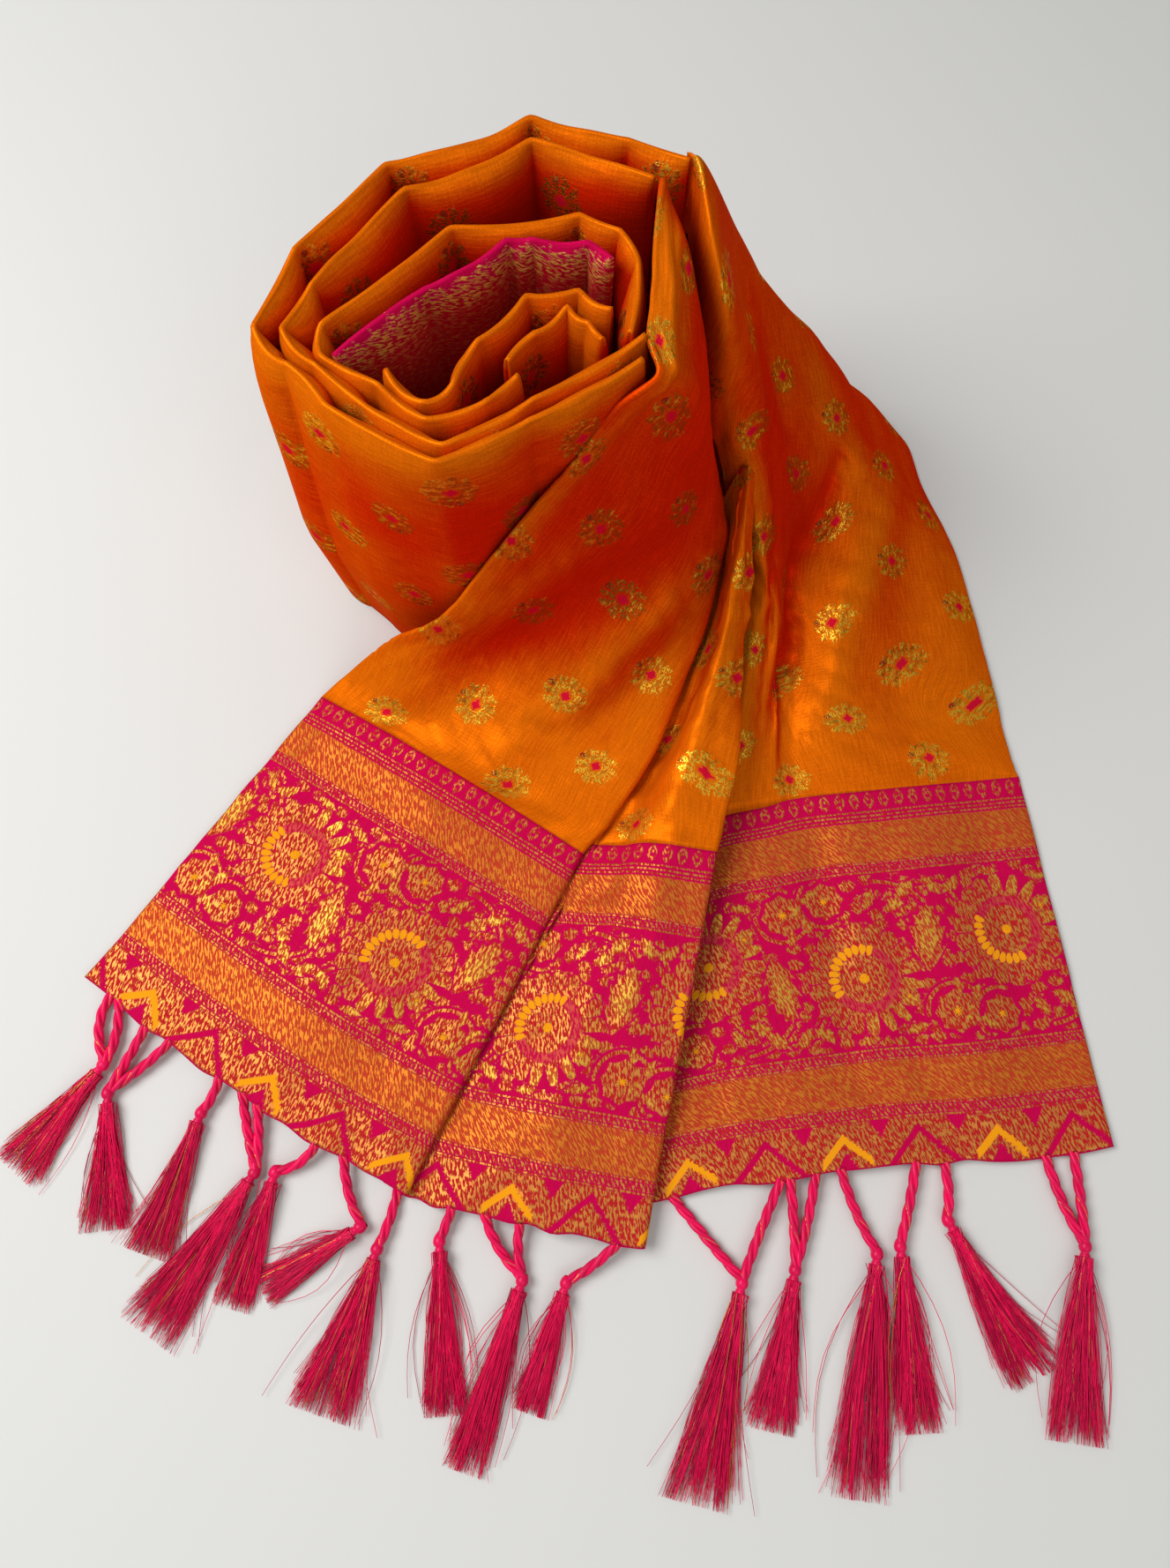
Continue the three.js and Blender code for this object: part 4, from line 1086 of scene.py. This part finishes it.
def wall_section(wall, height):
    """Section of a turn's cloth, up its outside, over the rim and down its inside: out, height, side."""
    top = height - RIM_RADIUS
    shares = np.concatenate([np.linspace(0, 0.6, 12), np.linspace(0.64, 1, 20)])
    half = RIM_RADIUS + (wall / 2 - RIM_RADIUS) * np.clip((1 - shares) * top / RIM_REACH, 0, 1) ** 0.6
    angle = np.radians(np.linspace(15, 165, 8))
    outside = np.stack([half, shares * top, np.ones(len(half))], 1)
    rim = np.stack([RIM_RADIUS * np.cos(angle), top + RIM_RADIUS * np.sin(angle), np.zeros(len(angle))], 1)
    return np.concatenate([outside, rim, outside[::-1] * (-1, 1, -1)])


def turn_grid(name, table):
    """One turn of the coil, rows along the strip, columns over its section; and its painted light and shade
    share by place.
    """
    path = turn_plan(table["corners"])
    height = COIL_HEIGHT - table["lower"]
    section = wall_section(table["wall"], height)
    faces = [section[:, 2] > 0, section[:, 2] < 0]
    ahead = np.gradient(path[:, :2], axis=0)
    ahead /= np.linalg.norm(ahead, axis=1, keepdims=True)
    side = np.stack([ahead[:, 1], -ahead[:, 0]], 1)
    shape = (len(path), len(section))
    seed = 101 + 7 * list(TURNS).index(name)
    wave = smooth_field(shape, (max(3, shape[0] // 12), 7), seed)
    rim = smooth_field(shape, (max(3, shape[0] // 9), 2), seed + 1)
    depth = height - section[:, 1]
    corner_off = path[:, 3:4]
    puffs = [np.interp(depth, PUFF_DEPTH, PUFF_OUT), -np.interp(depth, PUFF_DEPTH, PUFF_IN)]
    puff = np.select(faces, puffs, 0)
    out = section[:, 0] + np.interp(section[:, 1] / height, *BELLY) * path[:, 2:3]
    out = out + puff * corner_off ** 0.8 * table["puff"]
    out = out + wave * SIDE_WAVE * np.clip(depth / SIDE_CALM, 0, 1)
    grid = np.zeros((*shape, 5))
    grid[..., :2] = path[:, None, :2] + side[:, None, :] * out[..., None]
    sag = RIM_SAG * corner_off + RIM_WAVE * rim
    grid[..., 2] = section[:, 1] - sag * np.clip(1 - depth / RIM_CALM, 0, 1)
    girth = lengths(section[:, :2])
    grid[..., 3] = girth - girth[-1] / 2 + RIM_ACROSS
    grid[..., 4] = lengths(path[:, :2])[:, None] + TURN_UP
    # Painted light and shade: lit at the rim and where the outside faces the key light, painted shade
    # deeper down, inside the coil and in its inner corners; with random tone from the waves.
    outside = np.interp(depth, *PAINTED_LIGHT_OUTSIDE) - PAINTED_LIGHT_SIDE * side[:, :1]
    in_corner = np.clip(1 - corner_off / 0.3, 0, 1)
    inside = np.interp(depth, *PAINTED_LIGHT_INSIDE) - in_corner * np.interp(depth, *CORNER_SHADE)
    painted_light = np.select([np.broadcast_to(face, shape) for face in faces], [outside, inside], PAINTED_LIGHT_RIM)
    painted_light = painted_light + 0.10 * wave
    ends = grid[[0, -1]]
    ends[..., :2] = path[[0, -1], None, :2]
    return np.concatenate([ends[:1], grid, ends[1:]]), np.concatenate([painted_light[:1], painted_light, painted_light[-1:]])


def frames(run):
    """Unit vectors along runs, aside of them and over them."""
    along = run / np.maximum(np.linalg.norm(run, axis=-1, keepdims=True), 1e-12)
    aside = np.cross(along, np.array([0.0, 0.0, 1.0]))
    aside /= np.maximum(np.linalg.norm(aside, axis=-1, keepdims=True), 1e-9)
    return aside, np.cross(aside, along)


def tubes(points, radii, sides, picks):
    """Thin threads: points are threads by stations by x, y, z in metres; gives places, quads and picks."""
    count, stations = points.shape[:2]
    side, over = frames(np.gradient(points, axis=1))
    turns = 2 * math.pi * np.arange(sides) / sides + math.pi / 2
    ring = side[:, :, None] * np.cos(turns)[:, None] + over[:, :, None] * np.sin(turns)[:, None]
    places = points[:, :, None] + ring * radii[:, :, None, None]
    index = np.arange(count * stations * sides).reshape(count, stations, sides)
    ahead = np.roll(index, -1, axis=2)
    quads = np.stack([index[:, :-1], ahead[:, :-1], ahead[:, 1:], index[:, 1:]], -1).reshape(-1, 4)
    cloth = np.zeros((count, stations, sides, 2))
    cloth[..., 0] = picks[:, None, None]
    cloth[..., 1] = np.linspace(0, 1, stations)[None, :, None]
    return places.reshape(-1, 3), quads, cloth.reshape(-1, 2)


def bezier(start, middle, end, count):
    t = np.linspace(0, 1, count)[:, None]
    return (1 - t) ** 2 * start + 2 * t * (1 - t) * middle + t * t * end


METAL_PICK = 1.0         # the pick that makes a thread metal; the others shade it
CORD = {"radius": 0.0021, "pitch": 0.0220, "plies": 3, "sides": 7, "stations": 46}


def twisted(curve, source):
    """A twisted cord along a curve: its plies and a metal thread, as a run for joined."""
    side, over = frames(np.gradient(curve, axis=0))
    length = lengths(curve)
    threads, radii, picks = [], [], []
    for ply in range(CORD["plies"] + 1):
        metal = ply == CORD["plies"]
        turn = 2 * math.pi * (length / CORD["pitch"] + ply / CORD["plies"] + (0.25 if metal else 0))
        reach = CORD["radius"] * (0.86 if metal else 0.5)
        aside, above = side * (np.cos(turn) * reach)[:, None], over * (np.sin(turn) * reach)[:, None]
        threads.append(curve + aside + above)
        radii.append(np.full(len(curve), CORD["radius"] * (0.10 if metal else 0.58)))
        picks.append(METAL_PICK if metal else source.uniform(0.35, 0.65))
    return tubes(np.array(threads), np.array(radii), CORD["sides"], np.array(picks))


# A tied head: a lump over a wrapped neck that flares into the skirt, as shares of its length and radius.
KNOT_PROFILE = np.array((
    (0.0, 0.55), (0.08, 0.78), (0.18, 0.95), (0.30, 1.0), (0.40, 0.86), (0.46, 0.60), (0.52, 0.74),
    (0.60, 0.80), (0.70, 0.62), (0.78, 0.60), (1.0, 0.85)))
KNOT_RADIUS = 0.0027
KNOT_LENGTH = 0.011


def knot(place, along, source):
    """The tied head of a tassel, as a run for joined."""
    points = place + along * ((KNOT_PROFILE[:, 0] - 0.35) * KNOT_LENGTH)[:, None]
    radii = KNOT_PROFILE[:, 1] * KNOT_RADIUS
    return tubes(points[None], radii[None], 14, np.array([source.uniform(0.3, 0.6)]))


def in_metres(x, y, z):
    """A place in the shared frame."""
    return (np.array([x, y, z]) - np.array(CENTRE)) * MM


TIE_HEIGHT = 3.9
CORD_HEIGHT = 3.4
LOCKS = 9                # bundles in a skirt, side by side
STATIONS = 8             # places along each thread
STRAY_OVER = 0.955       # of a uniform draw: the threads that stray from their lock
METAL_OVER = 0.955       # of a uniform draw: the metal threads
BUNDLE_HEIGHT = 0.0052   # of the threads at the tie, in metres
SKIRT_HEIGHT = 0.0036    # of the threads that lie on the floor, in metres


def skirt(tie, along, length, spread, tassels, source):
    """The fine threads of a tassel, in locks that fan out over the floor, as a run for joined."""
    aside = np.array([-along[1], along[0], 0.0])
    count = tassels.strands
    lock = source.integers(0, LOCKS, count)
    lock_fan = np.linspace(-0.95, 0.95, LOCKS) + source.uniform(-0.12, 0.12, LOCKS)
    lock_bend = source.uniform(-1, 1, LOCKS)
    lock_reach = source.uniform(0.92, 1.03, LOCKS)
    fan = lock_fan[lock] + source.normal(0, 0.16, count)
    reach = length * MM * np.clip(lock_reach[lock] + source.normal(0, 0.075, count), 0.55, 1.07)
    bend = lock_bend[lock] * 0.05 + source.normal(0, 0.03, count)
    height = source.uniform(0, 1, count)[:, None]
    stray = source.uniform(0, 1, count) > STRAY_OVER
    fan = np.where(stray, fan * 1.5 + source.normal(0, 0.5, count), fan)
    bend = np.where(stray, bend * 4, bend)
    wide = np.clip(fan, -1.9, 1.9) * spread * MM / 2
    t = np.linspace(0, 1, STATIONS)[None, :]
    open_out = (0.12 + 0.88 * t ** 0.9) * t ** 0.25
    sideways = wide[:, None] * open_out + bend[:, None] * reach[:, None] * np.sin(np.pi * t) * 0.5
    sideways += source.normal(0, 0.0011, (count, 1)) * (1 - t)
    points = tie + along * (t * reach[:, None] + 0.003)[..., None] + aside * sideways[..., None]
    fallen = np.clip(t / 0.55, 0, 1)
    bundle = 0.0008 + height * BUNDLE_HEIGHT
    rest = 0.0004 + height * (SKIRT_HEIGHT - 0.0020 * t)
    points[..., 2] = bundle * (1 - fallen) + rest * fallen + 0.0004
    radii = np.full((count, 1), tassels.radius) * np.linspace(1.0, 0.55, STATIONS)[None, :]
    picks = source.uniform(0.02, 0.98, count)
    picks = np.where(source.uniform(0, 1, count) > METAL_OVER, METAL_PICK, picks)
    return tubes(points, radii, 3, picks)


def tassel_piece(number, row, hem_lines, tassels):
    """One tassel: cords from the hem, a tied head, and a skirt of fine threads over the floor."""
    x, y, length, way, spread, cords = row
    source = np.random.default_rng(500 + number)
    turn = math.radians(way)
    along = np.array([math.cos(turn), math.sin(turn), 0.0])
    tie = in_metres(x, y, TIE_HEIGHT)
    runs = [knot(tie, along, source)]
    for hem_x, hem_y, mid_x, mid_y in cords:
        start = near_hem(in_metres(hem_x, hem_y, 0.0) / MM, hem_lines) * MM
        curve = bezier(start, in_metres(mid_x, mid_y, CORD_HEIGHT), tie - along * 0.002, CORD["stations"])
        runs.append(twisted(curve, source))
    runs.append(skirt(tie, along, length, spread, tassels, source))
    return joined(f"tassel_{number:02d}_threads", runs)


def near_hem(target, hem_lines):
    """The place just inside the hem that is nearest to a point in plan, in millimetres from the middle."""
    best = None
    for line in hem_lines:
        for a, b in zip(line[:-1], line[1:]):
            run = (b - a)[:2]
            share = np.clip(np.dot(target[:2] - a[:2], run) / np.dot(run, run), 0, 1)
            place = a + (b - a) * share
            far = np.hypot(*(place - target)[:2])
            if best is None or far < best[0]:
                best = (far, place, run)
    _, place, run = best
    outward = np.array([run[1], -run[0], 0.0]) / np.hypot(*run)
    place = place - outward * 1.2
    place[2] = max(1.5, place[2] - 1.0)
    return place


BED_ROWS = 90
BED_COLUMNS = 80
BED_SCAN = 1.5           # step of the search for the form's sides
BED_EDGE = 0.5           # height of the sheet's edges over the floor


def bed_grid(form):
    """A cloth laid over the form of the hidden folds: rows from the back to the front."""
    tree = BVHTree.FromPolygons([v.co for v in form.vertices], [tuple(f.vertices) for f in form.polygons])
    corners = np.array([v.co for v in form.vertices]) / MM
    low, high = corners.min(0), corners.max(0)

    def height(x, y):
        hit = tree.ray_cast(Vector((x * MM, y * MM, 1.0)), Vector((0, 0, -1)))[0]
        return hit.z / MM if hit else None

    grid = np.zeros((BED_ROWS, BED_COLUMNS + 2, 5))
    for i, y in enumerate(np.linspace(high[1] - 1.0, low[1] + 1.0, BED_ROWS)):
        met = [x for x in np.arange(low[0], high[0], BED_SCAN) if height(x, y) is not None]
        xs = np.linspace(met[0] + 0.2, met[-1] - 0.2, BED_COLUMNS)
        grid[i, :, 0] = (xs[0], *xs, xs[-1])
        grid[i, :, 1] = y
        grid[i, 1:-1, 2] = [height(x, y) or 1.0 for x in xs]
    grid[:, [0, -1], 2] = BED_EDGE
    grid[[0, -1], :, 2] = BED_EDGE
    grid[..., :3] += np.array(CENTRE)
    grid[..., 3:5] = grid[..., :2]
    grid[..., 2] -= 0.5 * (1 + smooth_field(grid.shape, (18, 10), 71)) * (grid[..., 2] > 3)
    return grid


def place_piece(piece, nodes, material):
    """Puts a finished piece in the shared frame in place of its CAD nodes."""
    piece.data.materials.append(material)
    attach(piece, "root")
    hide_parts(*nodes)


# The falls' settings: radius of the fold at the left edge and at the right, and how far the vine and the
# hem's figures are shifted across.
FOLDS = {
    "left": {"radii": (1.2, 2.6), "vine": 106.0, "hem": 28.0},
    "centre": {"radii": (0.8, 2.4), "vine": 10.0, "hem": 10.0},
    "right": {"radii": (1.0, 1.0), "vine": 43.0, "hem": 20.0},
}

INSIDE_PAINTED_SHADE = -0.3       # painted shade of the layers inside the fan: change of their painted light share
INSIDE_SHIFT = 14.0      # and of their flowers


class SAREE_OT_falls(bpy.types.Operator):
    """Lay the three falls of the fan and the end border"""

    bl_idname = "saree.falls"
    bl_label = "Falls and Border"

    def execute(self, context):
        cloth = context.scene.saree_cloth
        for name, look in FOLDS.items():
            grid, painted_light, seam = fall_grid(name, cloth.rumple)
            left, right = look["radii"]
            full = rolled(rolled(grid, "left", left), "right", right)
            painted_light = np.pad(painted_light, ((0, 0), (ROLL_COLUMNS, ROLL_COLUMNS)), mode="edge")
            fall = grid_object(f"{name}_fall_cloth", full[:seam + 1], painted_light[:seam + 1])
            border = grid_object(f"{name}_border_cloth", full[seam:])
            place_piece(fall, [f"fall_{name}"], silk_material(f"Silk {name}", cloth, 0.0))
            place_piece(border, [f"border_{name}"],
                        border_material(f"Border {name}", cloth, look["vine"], look["hem"]))
            for part, piece in (("fall", fall), ("border", border)):
                thicken(piece, cloth.thickness)
        return {"FINISHED"}


class SAREE_OT_hidden_layers(bpy.types.Operator):
    """Lay the folded layers inside the fan"""

    bl_idname = "saree.hidden_layers"
    bl_label = "Hidden Layers"

    def execute(self, context):
        cloth = context.scene.saree_cloth
        grid = bed_grid(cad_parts["hidden_folds"].data)
        piece = grid_object("hidden_layers", grid, painted_light_share(grid[..., :3]) + INSIDE_PAINTED_SHADE)
        material = silk_material("Silk inside", cloth, INSIDE_SHIFT)
        place_piece(piece, ["hidden_folds"], material)
        thicken(piece, cloth.thickness)
        return {"FINISHED"}


class SAREE_OT_coil(bpy.types.Operator):
    """Stand the turns of the coil"""

    bl_idname = "saree.coil"
    bl_label = "Coil"

    def execute(self, context):
        cloth = context.scene.saree_cloth
        for (name, table), shift in zip(TURNS.items(), RIM_SHIFTS):
            grid, painted_light = turn_grid(name, table)
            piece = grid_object(f"{name}_cloth", grid, painted_light)
            if name == "roll_core_end":
                place_piece(piece, [name], brocade_material("Inner Brocade", cloth))
            else:
                place_piece(piece, [name], silk_material(f"Silk {name}", cloth, shift))
            thicken(piece, cloth.thickness)
        return {"FINISHED"}


class SAREE_OT_tassels(bpy.types.Operator):
    """Tie the tassels along the hem"""

    bl_idname = "saree.tassels"
    bl_label = "Tassels"

    def execute(self, context):
        tassels = context.scene.saree_tassels
        hem_lines = [fall_grid(name, 0.0)[0][-1, ::3, :3] - np.array(CENTRE) for name in FALLS]
        material = tassel_material("Tassel Thread", context.scene.saree_cloth, tassels)
        for number, row in enumerate(TASSELS, 1):
            piece = tassel_piece(number, row, hem_lines, tassels)
            place_piece(piece, [f"tassel_{number:02d}"], material)
        return {"FINISHED"}


CAMERA = {"place": (-CENTRE[0] * MM, -CENTRE[1] * MM, 0.52), "tilt": 15.0, "lens": 26.93}
LIGHTS = {  # place and size in metres, and share of the light's power
    "key": {"place": (-0.78, 0.16, 1.12), "size": 0.75, "share": 1.0},
    "fill": {"place": (0.5, -0.9, 1.2), "size": 1.2, "share": 0.32},
}
SKY_STRENGTH = 0.36
FLOOR_SIZE = 6.0
FLOOR_ROUGHNESS = 0.9


def add_lamp(name, place, size, power):
    """A square light that looks at the middle of the floor."""
    light = bpy.data.lights.new(name, "AREA")
    light.energy = power
    light.size = size
    lamp = bpy.data.objects.new(name, light)
    lamp.location = place
    x, y, z = place
    lamp.rotation_euler = Euler((math.atan2(math.hypot(x, y), z), 0, math.atan2(-y, -x) - math.pi / 2))
    bpy.context.scene.collection.objects.link(lamp)


class SAREE_OT_stage(bpy.types.Operator):
    """Lay the floor and set the light and the camera"""

    bl_idname = "saree.stage"
    bl_label = "Stage"

    def execute(self, context):
        look = context.scene.saree_stage
        scene = context.scene
        scene.view_settings.view_transform = "Standard"
        bpy.ops.mesh.primitive_plane_add(size=FLOOR_SIZE)
        floor = context.object
        floor.name = "floor"
        material = bpy.data.materials.new("Floor")
        material.use_nodes = True
        shader = material.node_tree.nodes["Principled BSDF"]
        shader.inputs["Base Color"].default_value = (*look.floor, 1.0)
        shader.inputs["Roughness"].default_value = FLOOR_ROUGHNESS
        floor.data.materials.append(material)
        for name, lamp in LIGHTS.items():
            add_lamp(name, lamp["place"], lamp["size"], look.light * lamp["share"])
        world = scene.world or bpy.data.worlds.new("World")
        scene.world = world
        world.use_nodes = True
        sky = world.node_tree.nodes["Background"]
        sky.inputs["Color"].default_value = (1.0, 1.0, 1.0, 1.0)
        sky.inputs["Strength"].default_value = SKY_STRENGTH
        camera_data = bpy.data.cameras.new("camera")
        camera_data.lens = CAMERA["lens"]
        camera = bpy.data.objects.new("camera", camera_data)
        camera.location = CAMERA["place"]
        camera.rotation_euler = (math.radians(CAMERA["tilt"]), 0, 0)
        scene.collection.objects.link(camera)
        scene.camera = camera
        return {"FINISHED"}


class SAREE_PT_panel(bpy.types.Panel):
    """The saree's settings and steps"""

    bl_label = "Saree"
    bl_idname = "SAREE_PT_panel"
    bl_space_type = "VIEW_3D"
    bl_region_type = "UI"
    bl_category = "Saree"

    def draw(self, context):
        layout = self.layout
        for settings in (context.scene.saree_cloth, context.scene.saree_tassels, context.scene.saree_stage):
            for name in settings.bl_rna.properties.keys():
                if name not in {"rna_type", "name"}:
                    layout.prop(settings, name)
        for step in STEPS:
            layout.operator(step.bl_idname)


STEPS = (SAREE_OT_hidden_layers, SAREE_OT_falls, SAREE_OT_coil, SAREE_OT_tassels, SAREE_OT_stage)
CLASSES = (SareeCloth, SareeTassels, SareeStage, *STEPS, SAREE_PT_panel)


def register():
    for cls in CLASSES:
        bpy.utils.register_class(cls)
    bpy.types.Scene.saree_cloth = bpy.props.PointerProperty(type=SareeCloth)
    bpy.types.Scene.saree_tassels = bpy.props.PointerProperty(type=SareeTassels)
    bpy.types.Scene.saree_stage = bpy.props.PointerProperty(type=SareeStage)


def unregister():
    del bpy.types.Scene.saree_cloth
    del bpy.types.Scene.saree_tassels
    del bpy.types.Scene.saree_stage
    for cls in reversed(CLASSES):
        bpy.utils.unregister_class(cls)


def main():
    register()
    bpy.ops.saree.hidden_layers()
    bpy.ops.saree.falls()
    bpy.ops.saree.coil()
    bpy.ops.saree.tassels()
    bpy.ops.saree.stage()


if __name__ == "__main__":
    main()
